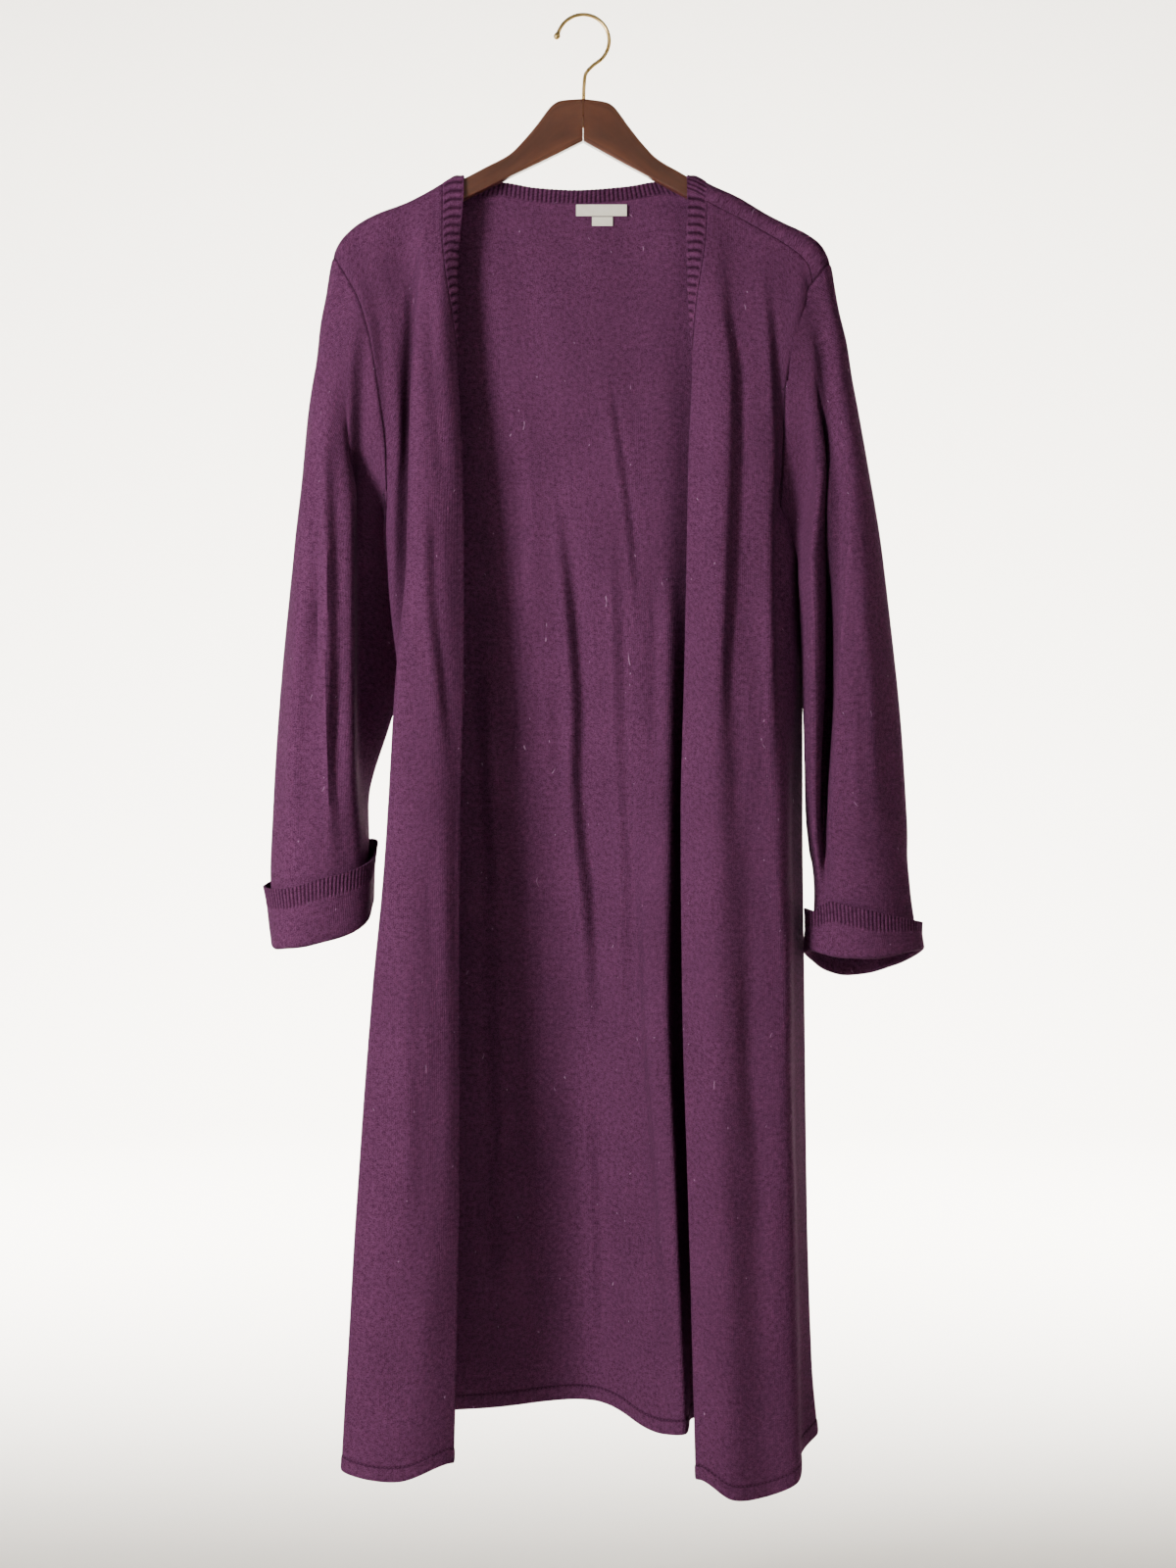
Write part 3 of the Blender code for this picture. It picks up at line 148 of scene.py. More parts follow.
def new_material(name, colour, roughness, **values):
    """A material whose Principled shader has these values. Node adds a node with its
    settings and its inputs, which are named, or numbered as in i0. Finish gives the
    shader its last inputs and returns the material."""
    made = bpy.data.materials.new(name)
    made.use_nodes = True
    tree = made.node_tree

    def fill(added, inputs):
        for key, value in inputs.items():
            by_number = key[0] == "i" and key[1:].isdigit()
            socket = added.inputs[int(key[1:]) if by_number else key.replace("_", " ")]
            if isinstance(value, bpy.types.NodeSocket):
                tree.links.new(value, socket)
            else:
                socket.default_value = value
        return added

    def node(kind, settings=(), **inputs):
        added = tree.nodes.new(kind)
        for key, value in dict(settings).items():
            setattr(added, key, value)
        return fill(added, inputs)

    def finish(**inputs):
        fill(tree.nodes["Principled BSDF"], inputs)
        return made

    finish(Base_Color=(*colour, 1.0), Roughness=roughness, **values)
    return node, finish


def brass_wire():
    """Lacquered brass: warm metal, a little darker and duller in soft patches."""
    node, finish = new_material("brass wire", (0.50, 0.34, 0.13), 0.26, Metallic=1.0)
    place = node("ShaderNodeTexCoord").outputs["Object"]
    patches = node("ShaderNodeTexNoise", Vector=place, Scale=90.0, Detail=3.0).outputs["Fac"]
    tone = node("ShaderNodeMixRGB", Fac=patches, i1=(0.42, 0.27, 0.09, 1),
                i2=(0.70, 0.50, 0.21, 1))
    dull = node("ShaderNodeMapRange", Value=patches, To_Min=0.2, To_Max=0.38)
    return finish(Base_Color=tone.outputs[0], Roughness=dull.outputs[0])


def tube(name, path, radii, finish, replaces):
    """A round bar: a circle of each radius carried along a path in the XZ plane."""
    ahead = unit(np.gradient(path, axis=0))
    across = np.stack([-ahead[:, 2], 0 * ahead[:, 0], ahead[:, 0]], axis=1)
    turns = np.arange(WIRE_SIDES) * 2 * math.pi / WIRE_SIDES
    ring = (
        np.cos(turns)[None, :, None] * across[:, None]
        + np.sin(turns)[None, :, None] * np.array([0.0, 1.0, 0.0])
    )
    points = (path[:, None] + ring * np.asarray(radii)[:, None, None]).reshape(-1, 3)
    faces = ring_faces(len(path), WIRE_SIDES).tolist()
    ends = range(WIRE_SIDES), range(len(points) - WIRE_SIDES, len(points))
    faces += [list(ends[0]), list(ends[1])[::-1]]
    return mesh_piece(name, points, faces, finish, replaces)


angles = np.radians(np.linspace(BOW_FROM, BOW_TO, 90))
bow = np.stack(
    [BOW_RADIUS * np.cos(angles), 0 * angles, BOW_RADIUS * np.sin(angles) + BOW_HEIGHT], axis=1
)
stem = np.array([(STEM_X, 0, STEM_FOOT), (STEM_X, 0, WOOD_TOP), *S_BEND, bow[0], bow[6]])
stem = round_curve(stem, np.linspace(0, 5, 50))[:-1]
ball = np.array(TIP_BALL)
tip = bow[-1] + ball[:, :1] * np.array(TIP_WAY)
wire = np.concatenate([stem, bow, tip])
wire_radii = np.concatenate([np.full(len(stem) + len(bow), WIRE_RADIUS), ball[:, 1]])
tube("hanger_hook", wire, wire_radii, brass_wire(), ["hook"])

# ---------------------------------------------------------------- the hanger arms
# Two arms sawn from one walnut board, their edges rounded over, glued end to end at the
# middle, stained dark and lacquered. They slope down and out to round tips.

SIDES = ((-1, "left"), (1, "right"))
ARM_HALF_THICKNESS = 6.0
ARM_LENGTH = 189.5
ARM_TIP = 7.0  # the length that the round tip takes
ARM_SQUARE = (0.24, 0.18)  # the section's powers, wide and high: 1 round, near 0 square
ARM_GIRTH = 70.0  # that the wood's pattern is laid round
ARM_DROP = math.tan(math.radians(1.6))  # the hanger hangs a little lower on its right
JOINT_GAP = 0.15
ARM_TOP = {
    "x": (0, 14, 20.5, 26, 31, 37.5, 51, 62, 82.5, 94, 130, 150, 181, 189.5),
    "z": (-70.3, -71.6, -72.9, -76.5, -82.5, -91.5, -108, -119, -130.6, -137, -156.5,
          -167.5, -183, -189),
}
ARM_FOOT = {
    "x": (0, 32, 62, 83, 96, 130, 184, 189.5),
    "z": (-106.2, -123, -138, -148.8, -155.8, -173, -199, -201),
}


def steady_curve(knots, values, at):
    """A curve through values at knots that never overshoots: each slope is the harmonic
    mean of the two rates beside it, and 0 at a turn."""
    knots, values = np.asarray(knots, float), np.asarray(values, float)
    if knots[0] > knots[-1]:
        knots, values = knots[::-1], values[::-1]
    steps = np.diff(knots)
    rates = np.diff(values) / steps
    slopes = np.concatenate([rates[:1], np.zeros(len(rates) - 1), rates[-1:]])
    same_way = rates[:-1] * rates[1:] > 0
    before = np.where(same_way, rates[:-1], 1.0)
    after = np.where(same_way, rates[1:], 1.0)
    slopes[1:-1] = np.where(same_way, 2 * before * after / (before + after), 0.0)
    at = np.clip(at, knots[0], knots[-1])
    which = np.clip(np.searchsorted(knots, at) - 1, 0, len(steps) - 1)
    step = steps[which]
    return cubic(values[which], values[which + 1], step * slopes[which],
                 step * slopes[which + 1], (at - knots[which]) / step)


def arm_surface(side, lengths, turns):
    """An arm over its length and round its section: a rectangle whose corners are rounded
    over as a power of the cosine and the sine, closed to a round end at the tip."""
    top = steady_curve(ARM_TOP["x"], ARM_TOP["z"], lengths)
    foot = steady_curve(ARM_FOOT["x"], ARM_FOOT["z"], lengths)
    left = np.clip((ARM_LENGTH - lengths) / ARM_TIP, 0, 1)
    close = np.sqrt(left * (2 - left))[:, None]
    wide, high = (
        np.sign(wave) * np.abs(wave) ** power
        for wave, power in zip((np.cos(turns), np.sin(turns)), ARM_SQUARE)
    )
    x = side * (lengths + JOINT_GAP)[:, None] + 0 * turns
    y = ARM_HALF_THICKNESS * (0.35 + 0.65 * close) * wide
    z = (top + foot)[:, None] / 2 + (top - foot)[:, None] / 2 * close * high - ARM_DROP * x
    return np.stack([x, y, z], axis=-1)


def walnut():
    """Walnut stained red-brown: long fibres along each arm, darker growth rings wandering
    through them, short pores, and a thin coat of lacquer."""
    node, finish = new_material("dark walnut", (0.10, 0.03, 0.015), 0.36,
                                Coat_Weight=0.25, Coat_Roughness=0.22)
    place = node("ShaderNodeUVMap", {"uv_map": "cloth"}).outputs[0]
    along = node("ShaderNodeMapping", Vector=place, Scale=(9.0, 170.0, 1.0)).outputs[0]
    fibres = node("ShaderNodeTexNoise", Vector=along, Scale=2.2, Detail=6.0, Roughness=0.62)
    wide = node("ShaderNodeMapping", Vector=place, Scale=(4.0, 60.0, 1.0)).outputs[0]
    rings = node("ShaderNodeTexNoise", Vector=wide, Scale=1.6, Detail=2.0, Distortion=1.2)

    def ramp(noise, *stops):
        """The noise turned to colour, between two stops of place and colour."""
        added = node("ShaderNodeValToRGB", Fac=noise.outputs["Fac"])
        for element, (position, colour) in zip(added.color_ramp.elements, stops):
            element.position, element.color = position, (*colour, 1)
        return added.outputs[0]

    tone = ramp(rings, (0.30, (0.040, 0.0105, 0.0052)), (0.72, (0.165, 0.052, 0.024)))
    streak = ramp(fibres, (0.33, (0.42, 0.40, 0.40)), (0.62, (1.0, 1.0, 1.0)))
    both = node("ShaderNodeMixRGB", {"blend_type": "MULTIPLY"}, Fac=0.75, i1=tone, i2=streak)
    pores = node("ShaderNodeBump", Strength=0.25, Distance=0.0003, Height=fibres.outputs["Fac"])
    return finish(Base_Color=both.outputs[0], Normal=pores.outputs[0])


def arm(side, word, finish):
    """The arm's grid, closed by a cap at the joint and one at the tip. Its pattern's
    places are the length along it and the way round it, from 0 to ARM_GIRTH."""
    tip = ARM_TIP * np.sin(np.linspace(0.08, math.pi / 2, 14))
    lengths = np.concatenate([np.linspace(0, 182, 92), ARM_LENGTH - ARM_TIP + tip])
    turns = np.linspace(0, 2 * math.pi, 49)[:-1] + 1e-4
    grid = arm_surface(side, lengths, turns)
    rows, sides = grid.shape[:2]
    faces = ring_faces(rows, sides)
    row, column = np.divmod(np.arange(len(faces)), sides)
    girth = np.linspace(0, 1, sides + 1) * ARM_GIRTH
    corners = ((0, 0), (1, 0), (1, 1), (0, 1))
    uv = np.stack([np.stack([lengths[row + down], girth[column + on]], axis=-1)
                   for down, on in corners], axis=1) * MM
    end_uv = [np.stack([0 * turns, grid[end, :, 2] * MM], 1) for end in (0, -1)]
    ends = [list(range(sides)), list(range(rows * sides - sides, rows * sides))[::-1]]
    if side > 0:
        faces, uv = faces[:, ::-1], uv[:, ::-1]
        ends = [end[::-1] for end in ends]
    mesh_piece(
        f"arm_{word}", grid.reshape(-1, 3), faces.tolist() + ends, finish,
        [f"hanger_{word}"], np.concatenate([uv.reshape(-1, 2), *end_uv]), sharp=35,
    )


walnut_finish = walnut()
for side, word in SIDES:
    arm(side, word, walnut_finish)

# ---------------------------------------------------------------- the fronts and bands
# Each front is one panel of fine jersey, with a ribbed band linked to its free edge. The
# cloth hangs from the hanger arm: the band shows beside the neck, then the edge rolls to
# the inside and takes the band out of sight. The hem is turned up and stitched.

WALL = 1.5  # fine jersey knit, with its fuzz
BAND_WIDTH = 18.0
PANEL_TURNED_IN = 4.0  # how much of the panel turns in after the band
BAND_PITCH = 7.3  # of the band's ribs
BAND_RISE = 1.2
TURN_RADIUS = 3.6  # the front edge's roll to the inside
TURN_LEAST = 0.3  # what is left of it above the turn
TURNED_REACH = 27.0  # from the front edge to the end that is turned in behind it
TURN_DEPTHS = (150.0, 235.0)  # below the hook, where the roll begins and where it is full
BAND_DEPTHS = (165.0, 330.0)  # and where the band starts to turn in and is hidden
SHOULDER_RADIUS = 9.0  # the roll of the cloth over a hanger arm
QUARTER_ROLL = SHOULDER_RADIUS * math.pi / 2
BAND_ALONG = 0.2  # the band's width as a share of the shoulder
HEM_HEIGHT = 12.0
HEM_RISE = 0.55
HEM_CURL = (8.0, 2.0)  # how far the hem lifts at the turned-in end and at the turn
CURL_SHARE = 0.05  # the share of a panel's height that it lifts over
PANEL_HEIGHT = 1075.0
FRONT_EASE, BACK_EASE = 0.9, 0.62  # the share above which it is drawn to the shoulder
CROWDING = 1.5  # the power by which columns stand closer beside a seam
SEAM_DEPTH = 0.9
SEAM_REACH = 1.7

# Seams over the shoulders, as distances over the roll from its ridge, + to the front: the
# back wraps forward over the right one. Beyond it each front starts on the roll, and the
# cloth leans out to the sleeve by FRONT_LEAN in front and BACK_LEAN behind.
SHOULDER_SEAM = {-1: 0.0, 1: 22.0}
FRONT_START = {-1: QUARTER_ROLL, 1: SHOULDER_SEAM[1] + 5.0}
FRONT_LEAN = {-1: 6.5, 1: 20.0}
BACK_LEAN = 5.0

# The top of each shoulder: how far along it, then x and z of the ridge of the cloth
RIDGE = {
    -1: (
        (-0.2, -100.5, -130.5), (0.0, -118.0, -141.0), (0.12, -129.0, -147.7),
        (0.34, -150.0, -158.4), (0.59, -173.0, -167.0), (0.76, -189.0, -175.5),
        (0.89, -202.0, -187.0), (0.95, -207.0, -194.5), (1.0, -211.0, -204.0),
    ),
    1: (
        (-0.2, 87.5, -130.5), (0.0, 103.5, -140.0), (0.14, 118.0, -147.7), (0.28, 133.0, -155.3),
        (0.42, 148.0, -163.4), (0.68, 174.5, -177.4), (0.83, 190.5, -186.5),
        (0.93, 202.0, -196.0), (1.0, 208.5, -209.0),
    ),
}

# Heights that the fold tables are given at. Each fold has the x and the depth y at which
# it crosses them, and its height at the hem. The edge is the tip of the front's roll.
LEVELS = (-150, -230, -300, -370, -470, -560, -680, -820, -1000, -1230)
FRONT_FOLDS = {
    -1: {
        "edge": ((-101, -106, -106, -102, -100, -100, -103, -104, -104, -108),
            (-8, -14, -18, -22, -26, -30, -34, -38, -43, -49), -1211),
        "crown": ((-121.5, -123, -126, -124, -124, -127, -132, -138, -145, -152),
            (-9, -20, -27, -33, -38, -42, -47, -53, -58, -64), -1223),
        "ridge": ((-128, -139, -144, -146, -148, -155, -162, -174, -187.5, -201),
            (-9, -17, -25, -31, -35, -38, -40, -42, -43, -45), -1217),
        "tuck": ((-134, -140, -142, -142, -142, -146, -150, -158, -167, -174),
            (-9, -10, -10, -12, -14, -14, -12, -10, -8, -6), -1207),
    },
    1: {
        "edge": ((90, 89, 92, 89, 87, 85, 82, 83, 88, 94),
            (-8, -14, -18, -22, -27, -31, -36, -42, -50, -56), -1223),
        "crown": ((111, 112, 114, 114, 114, 113, 111, 112, 117, 123),
            (-9, -19, -26, -32, -38, -43, -50, -57, -63, -68), -1237),
        "valley": ((124, 128, 132, 133, 134, 135, 137, 139, 143, 148),
            (-9, -15, -20, -25, -30, -35, -41, -47, -53, -58), -1237),
        "fold": ((140, 150, 151, 151, 152, 160, 162, 166, 170, 176),
            (-9, -14, -19, -23, -28, -34, -41, -45, -48, -50), -1228),
        "tuck": ((165, 172, 162, 162, 167, 175, 176, 177, 180, 184),
            (-9, -12, -16, -15, -12, -9, -9, -11, -13, -15), -1209),
    },
}

# Each side seam from the hem up to the underarm, then each armhole up to the shoulder
SIDE_SEAM = {
    -1: {
        "z": (-1203, -1000, -820, -680, -560, -515, -470, -435, -405),
        "x": (-187, -178, -168, -160, -157, -161, -166, -168, -166.5),
        "y": (8, 10, 10, 8, 5, 4, 3, 1, 0),
    },
    1: {
        "z": (-1197, -1140, -1000, -820, -680, -560, -500, -460, -440, -420),
        "x": (199, 194, 190, 188, 186.5, 186.5, 186, 183, 177.5, 166),
        "y": (6, 8, 12, 14, 14, 14, 14, 10, 6, 0),
    },
}
ARMHOLE = {
    -1: {
        "z": (-405, -370, -320, -275, -240, -213),
        "front_x": (-166.5, -166.5, -172, -179, -189, -204),
        "front_y": (0, -8, -14, -15, -13, -9),
        "back_x": (-166.5, -168, -175, -183, -193, -205),
        "back_y": (0, 8, 15, 16, 14, 9),
    },
    1: {
        "z": (-420, -375, -320, -285, -255, -232),
        "front_x": (166, 168.5, 169.5, 172.5, 179, 184.5),
        "front_y": (0, -9, -14, -15, -13, -9),
        "back_x": (166, 171, 178, 185, 192, 200),
        "back_y": (0, 9, 15, 16, 14, 11),
    },
}

# Rows up a panel, as shares of its height: close at the hem, then even to the underarm
UNDERARM_SHARE = 0.8
UNDERARM_ROW = 111  # the first row of the armhole
HEM_ROWS = (0, 0.6, 1.8, 4, 6.5, 9, 10.6, 11.5, 12.2, 13, 14, 16)  # mm above the hem
ARMHOLE_STEPS = 44
BODY_SHARES = np.concatenate(
    [np.array(HEM_ROWS) / PANEL_HEIGHT,
     np.linspace(20 / PANEL_HEIGHT, UNDERARM_SHARE, UNDERARM_ROW - len(HEM_ROWS) + 1)[:-1],
     np.linspace(UNDERARM_SHARE, 1.0, ARMHOLE_STEPS + 1)]
)
FRONT_STEPS = {-1: (33, 21, 15, 27), 1: (33, 18, 18, 18, 21)}  # columns between two folds
FRONT_ROLL_ROWS = {-1: 8, 1: 3}
BAND_COLUMNS = 13
SAMPLES = 40  # of a section's curve between two of its knots
TIP_KNOT = 2  # the edge's tip among the knots of a section


def soft_step(value, low, high):
    """0 up to low, 1 from high, smooth between."""
    s = np.clip((value - low) / (high - low), 0, 1)
    return s * s * (3 - 2 * s)


def shoulder(side, along, over):
    """The cloth over a hanger arm: along it from neck (0) to sleeve (1), and over the roll
    by a distance from its ridge, + to the front. Straight down past a quarter turn."""
    shares, ridge_x, ridge_z = np.array(RIDGE[side]).T
    along, over = np.broadcast_arrays(along, over)
    turn = np.clip(over / SHOULDER_RADIUS, -math.pi / 2, math.pi / 2)
    straight = np.abs(over) - SHOULDER_RADIUS * np.abs(turn)
    reach = np.where(over > 0, FRONT_LEAN[side], BACK_LEAN) * np.clip(along, 0, 1) ** 4
    front_limit = QUARTER_ROLL + FRONT_LEAN[side] - FRONT_LEAN[-1]
    limit = np.where(over > 0, front_limit, QUARTER_ROLL)
    lean = reach * np.minimum(np.abs(over) / limit, 1.0) ** 1.2
    x = steady_curve(shares, ridge_x, along) - side * lean
    z = steady_curve(shares, ridge_z, along) - SHOULDER_RADIUS * (1 - np.cos(turn)) - straight
    return np.stack([x, -SHOULDER_RADIUS * np.sin(turn), z], axis=-1)


def side_line(side, which, shares):
    """The side seam up to the underarm, then the front or the back edge of the armhole."""
    seam, armhole = SIDE_SEAM[side], ARMHOLE[side]
    low = np.minimum(shares, UNDERARM_SHARE) / UNDERARM_SHARE
    z_low = seam["z"][0] + (seam["z"][-1] - seam["z"][0]) * low
    high = np.maximum(shares - UNDERARM_SHARE, 0) / (1 - UNDERARM_SHARE)
    over = -QUARTER_ROLL if which == "back" else FRONT_START[side]
    z_high = seam["z"][-1] + (shoulder(side, 1.0, over)[2] - seam["z"][-1]) * high
    above = shares > UNDERARM_SHARE
    x, y = (
        np.where(
            above,
            steady_curve(armhole["z"], armhole[f"{which}_{axis}"], z_high),
            steady_curve(seam["z"], seam[axis], z_low),
        )
        for axis in "xy"
    )
    return np.stack([x, y, np.where(above, z_high, z_low)], axis=-1)


def fold_line(fold, shares, top):
    """A fold from its hem to the height top, read from its table at LEVELS."""
    x, y, hem_z = fold
    z = hem_z + (top - hem_z) * shares
    return np.stack([steady_curve(LEVELS, x, z), steady_curve(LEVELS, y, z), z], axis=-1)


def front_section_knots(side, shares):
    """The knots of a front's sections: the turned-in end, the roll, and each fold."""
    ridge = np.array(RIDGE[side])
    lines = []
    for fold in FRONT_FOLDS[side].values():
        along = np.interp(side * fold[0][0], side * ridge[:, 1], ridge[:, 0])
        top = shoulder(side, along, FRONT_START[side])[2]
        lines.append(fold_line(fold, shares, float(top)))
    edge = lines[0]
    radius = TURN_RADIUS * soft_step(-edge[:, 2], *TURN_DEPTHS) + TURN_LEAST
    near_hem = soft_step(CURL_SHARE - shares, 0.0, CURL_SHARE)
    roll = [  # how far out, back and up from the edge: inner end, turn, tip and front
        (TURNED_REACH, 2.1 * radius, HEM_CURL[0] * near_hem),
        (radius, 2.0 * radius, HEM_CURL[1] * near_hem),
        (0, radius, 0),
        (radius, 0, 0),
    ]
    rolled = [
        edge + np.stack([side * out + 0 * radius, back + 0 * radius, up + 0 * radius], axis=-1)
        for out, back, up in roll
    ]
    return np.stack(rolled + lines[1:] + [side_line(side, "front", shares)], axis=1)


def read_line(values, along, at):
    """Points known at distances along a line, read at other distances."""
    return np.stack([np.interp(at, along, values[:, k]) for k in range(3)], axis=-1)


def front_surfaces(side):
    """The front panel and its band, as two grids that share the band's seam. A row is a
    section through the folds, read by its length from the tip of the roll."""
    shares = BODY_SHARES
    knots = front_section_knots(side, shares)
    count = knots.shape[1]
    dense = round_curve(knots, np.linspace(0, count - 1, (count - 1) * SAMPLES + 1))
    arcs = distance_across(dense)
    arcs -= arcs[:, TIP_KNOT * SAMPLES][:, None]
    knot_arcs = arcs[:, ::SAMPLES]
    # How much of the band shows outside. Below 0, the panel itself is turned in too.
    hidden = (BAND_WIDTH + PANEL_TURNED_IN) * soft_step(-knots[:, TIP_KNOT, 2], *BAND_DEPTHS)
    seam_arc = BAND_WIDTH - hidden
    steps = FRONT_STEPS[side]
    stops = [seam_arc] + [knot_arcs[:, TIP_KNOT + 2 + i] for i in range(len(steps))]
    columns = [seam_arc]
    for number, (start, end, cuts) in enumerate(zip(stops[:-1], stops[1:], steps)):
        shares_across = np.arange(1, cuts + 1) / cuts
        if number == 0:
            shares_across = shares_across**CROWDING
        if number == len(steps) - 1:
            shares_across = 1 - (1 - shares_across) ** CROWDING
        columns += [start + (end - start) * share for share in shares_across]
    panel_arcs = np.stack(columns, axis=1)
    band_arcs = seam_arc[:, None] + np.linspace(-BAND_WIDTH, 0, BAND_COLUMNS)[None]
    panel, band = (
        np.stack([read_line(*row) for row in zip(dense, arcs, wanted)])
        for wanted in (panel_arcs, band_arcs)
    )
    panel[:, -1] = knots[:, -1]
    along = (panel_arcs[-1] - seam_arc[-1]) / (panel_arcs[-1, -1] - seam_arc[-1])
    band_along = np.linspace(-BAND_ALONG, 0.0, BAND_COLUMNS)
    blend = soft_step(shares, FRONT_EASE, 1.0)[:, None, None]
    roll = np.linspace(FRONT_START[side], SHOULDER_SEAM[side], FRONT_ROLL_ROWS[side] + 1)[1:]
    finished = []
    for grid, places in ((band, band_along), (panel, along)):
        target = shoulder(side, places, FRONT_START[side])
        grid = grid + (target - grid[-1])[None] * blend
        over = shoulder(side, places[None, :], roll[:, None])
        finished.append(np.concatenate([grid, over], axis=0))
    finished[1][: len(shares) - 1, -1] = knots[:-1, -1]
    return finished


def wrapped(grid, wraps):
    """The grid, with its first column again after the last if it wraps."""
    return np.concatenate([grid, grid[:, :1]], axis=1) if wraps else grid


def grid_normals(grid, wraps, present):
    """The direction across each point of a grid: the sum over its faces."""
    grid = wrapped(grid, wraps)
    faces = np.cross(grid[1:, 1:] - grid[:-1, :-1], grid[1:, :-1] - grid[:-1, 1:])
    faces = faces * present[..., None]
    total = np.zeros_like(grid)
    for rows in (slice(None, -1), slice(1, None)):
        for columns in (slice(None, -1), slice(1, None)):
            total[rows, columns] += faces
    if wraps:
        total[:, 0] += total[:, -1]
        total = total[:, :-1]
    return total


def distance_across(grid, wraps=False):
    """The distance along each row from its first point."""
    steps = np.linalg.norm(np.diff(wrapped(grid, wraps), axis=1), axis=-1)
    return np.concatenate([np.zeros((len(grid), 1)), np.cumsum(steps, axis=1)], axis=1)


def distance_up(grid):
    """The distance along each column from its first point."""
    return distance_across(np.swapaxes(grid, 0, 1)).T


def bell(distance, width):
    """1 at no distance, falling to nothing as a bell curve of this width."""
    return np.exp(-((distance / width) ** 2))


class Knit:
    """One knitted piece: the grid in the middle of its wall, its outward directions, how
    far each point lies out of that grid (lift), and which faces it has."""

    def __init__(self, name, grid, wraps=False, present=None, faces_in=False):
        self.name, self.grid, self.wraps, self.faces_in = name, grid, wraps, faces_in
        self.plain_wall(present)
        self.normals = unit(grid_normals(grid, wraps, self.present)) * (-1 if faces_in else 1)

    def plain_wall(self, present=None):
        """The wall all of one thickness, with nothing raised, and by default whole."""
        rows, columns = self.grid.shape[:2]
        if present is None:
            present = np.ones((rows - 1, columns if self.wraps else columns - 1), bool)
        self.present = present
        self.wall = np.full((rows, columns), WALL)
        self.lift = np.zeros((rows, columns))
        # shade is painted shade: it darkens the colour of each point
        self.shade = np.zeros((rows, columns))  # 1 deep in a groove, where little light gets

    def paint_shade(self, shade):
        """Paints shade into the colour, where it is not darker already."""
        self.shade = np.maximum(self.shade, shade)

    def seam(self, distance, depth=SEAM_DEPTH):
        """Draws the cloth in beside a seam, by a bell curve of the distance from it, and paints
        shade along the seam.
        """
        self.lift -= depth * bell(distance, SEAM_REACH)
        self.paint_shade(0.8 * bell(distance, 0.9))

    def hem(self):
        """The turned-up hem: a little thicker up to its stitch line, which pulls it in. Shade is
        painted along the stitch line.
        """
        above = distance_up(self.grid)
        turned = 1 - soft_step(above, HEM_HEIGHT - 1.2, HEM_HEIGHT + 0.4)
        line = bell(above - HEM_HEIGHT, 0.9)
        self.wall += 2 * HEM_RISE * turned * (1 - bell(above, 1.4)) - 0.5 * line
        self.paint_shade(0.9 * line)

    def drape(self, seed, size, height):
        """Small slack in the cloth: a sum of long waves with fixed random places, each
        mostly upright, faded out at the piece's edges."""
        waves = np.random.default_rng(seed)
        across = distance_across(self.grid, self.wraps)[:, : self.grid.shape[1]]
        up = distance_up(self.grid)
        total = 0 * up
        for _ in range(9):
            long_way = size * waves.uniform(3.0, 9.0)
            short_way = size * waves.uniform(0.7, 1.8)
            lean = waves.uniform(-0.12, 0.12)
            shift = waves.uniform(0, 2 * math.pi, 2)
            wave = np.sin(2 * math.pi * (across + lean * up) / short_way + shift[0])
            total += wave * (0.6 + 0.4 * np.sin(2 * math.pi * up / long_way + shift[1]))
        edge = up if self.wraps else np.minimum(across, across[:, -1:] - across)
        ends = np.minimum(up + 12.0, up[-1:] - up)
        self.lift += height * total / 3 * soft_step(np.minimum(edge, ends), 2.0, 22.0)

    def creases(self, table, towards):
        """Soft pleats along lines that run down the cloth, as seen from the front: each is
        its width, its height, how much shade is painted along it (dark) and the x and z of its
        path. Across a line the cloth falls by the derivative of a bell curve, so it is steepest
        on the line itself: a dark line where the height is above 0, a bright one below 0. Where
        a pleat is too deep and narrow to be cut into the wall, dark paints shade along it.
        Towards is 1 where the cloth's outside faces the front, and -1 where its inside does."""
        x, z = self.grid[..., 0], self.grid[..., 2]
        for width, height, dark, path in table:
            path = np.array(path, float)
            top, foot = path[0, 1], path[-1, 1]
            off = (x - steady_curve(path[:, 1], path[:, 0], z)) / width
            reach = 0.3 * (top - foot)
            fade = soft_step(z, foot - 20.0, foot + reach) * soft_step(-z, -top, reach - top)
            self.lift -= towards * height * off * np.exp((1 - off**2) / 2) * fade
            self.paint_shade(dark * bell(off, 1.0) * fade)


def share_seam_normals(knits):
    """Where pieces share a point, they share the mean of their outward directions."""
    points = np.concatenate([knit.grid.reshape(-1, 3) for knit in knits])
    normals = np.concatenate([knit.normals.reshape(-1, 3) for knit in knits])
    keys = np.round(points / 0.01).astype(np.int64)
    _, same = np.unique(keys, axis=0, return_inverse=True)
    same = same.reshape(-1)
    total = np.zeros((same.max() + 1, 3))
    np.add.at(total, same, normals)
    shared = unit(total)[same]
    start = 0
    for knit in knits:
        count = knit.grid.shape[0] * knit.grid.shape[1]
        knit.normals = shared[start : start + count].reshape(knit.grid.shape)
        start += count


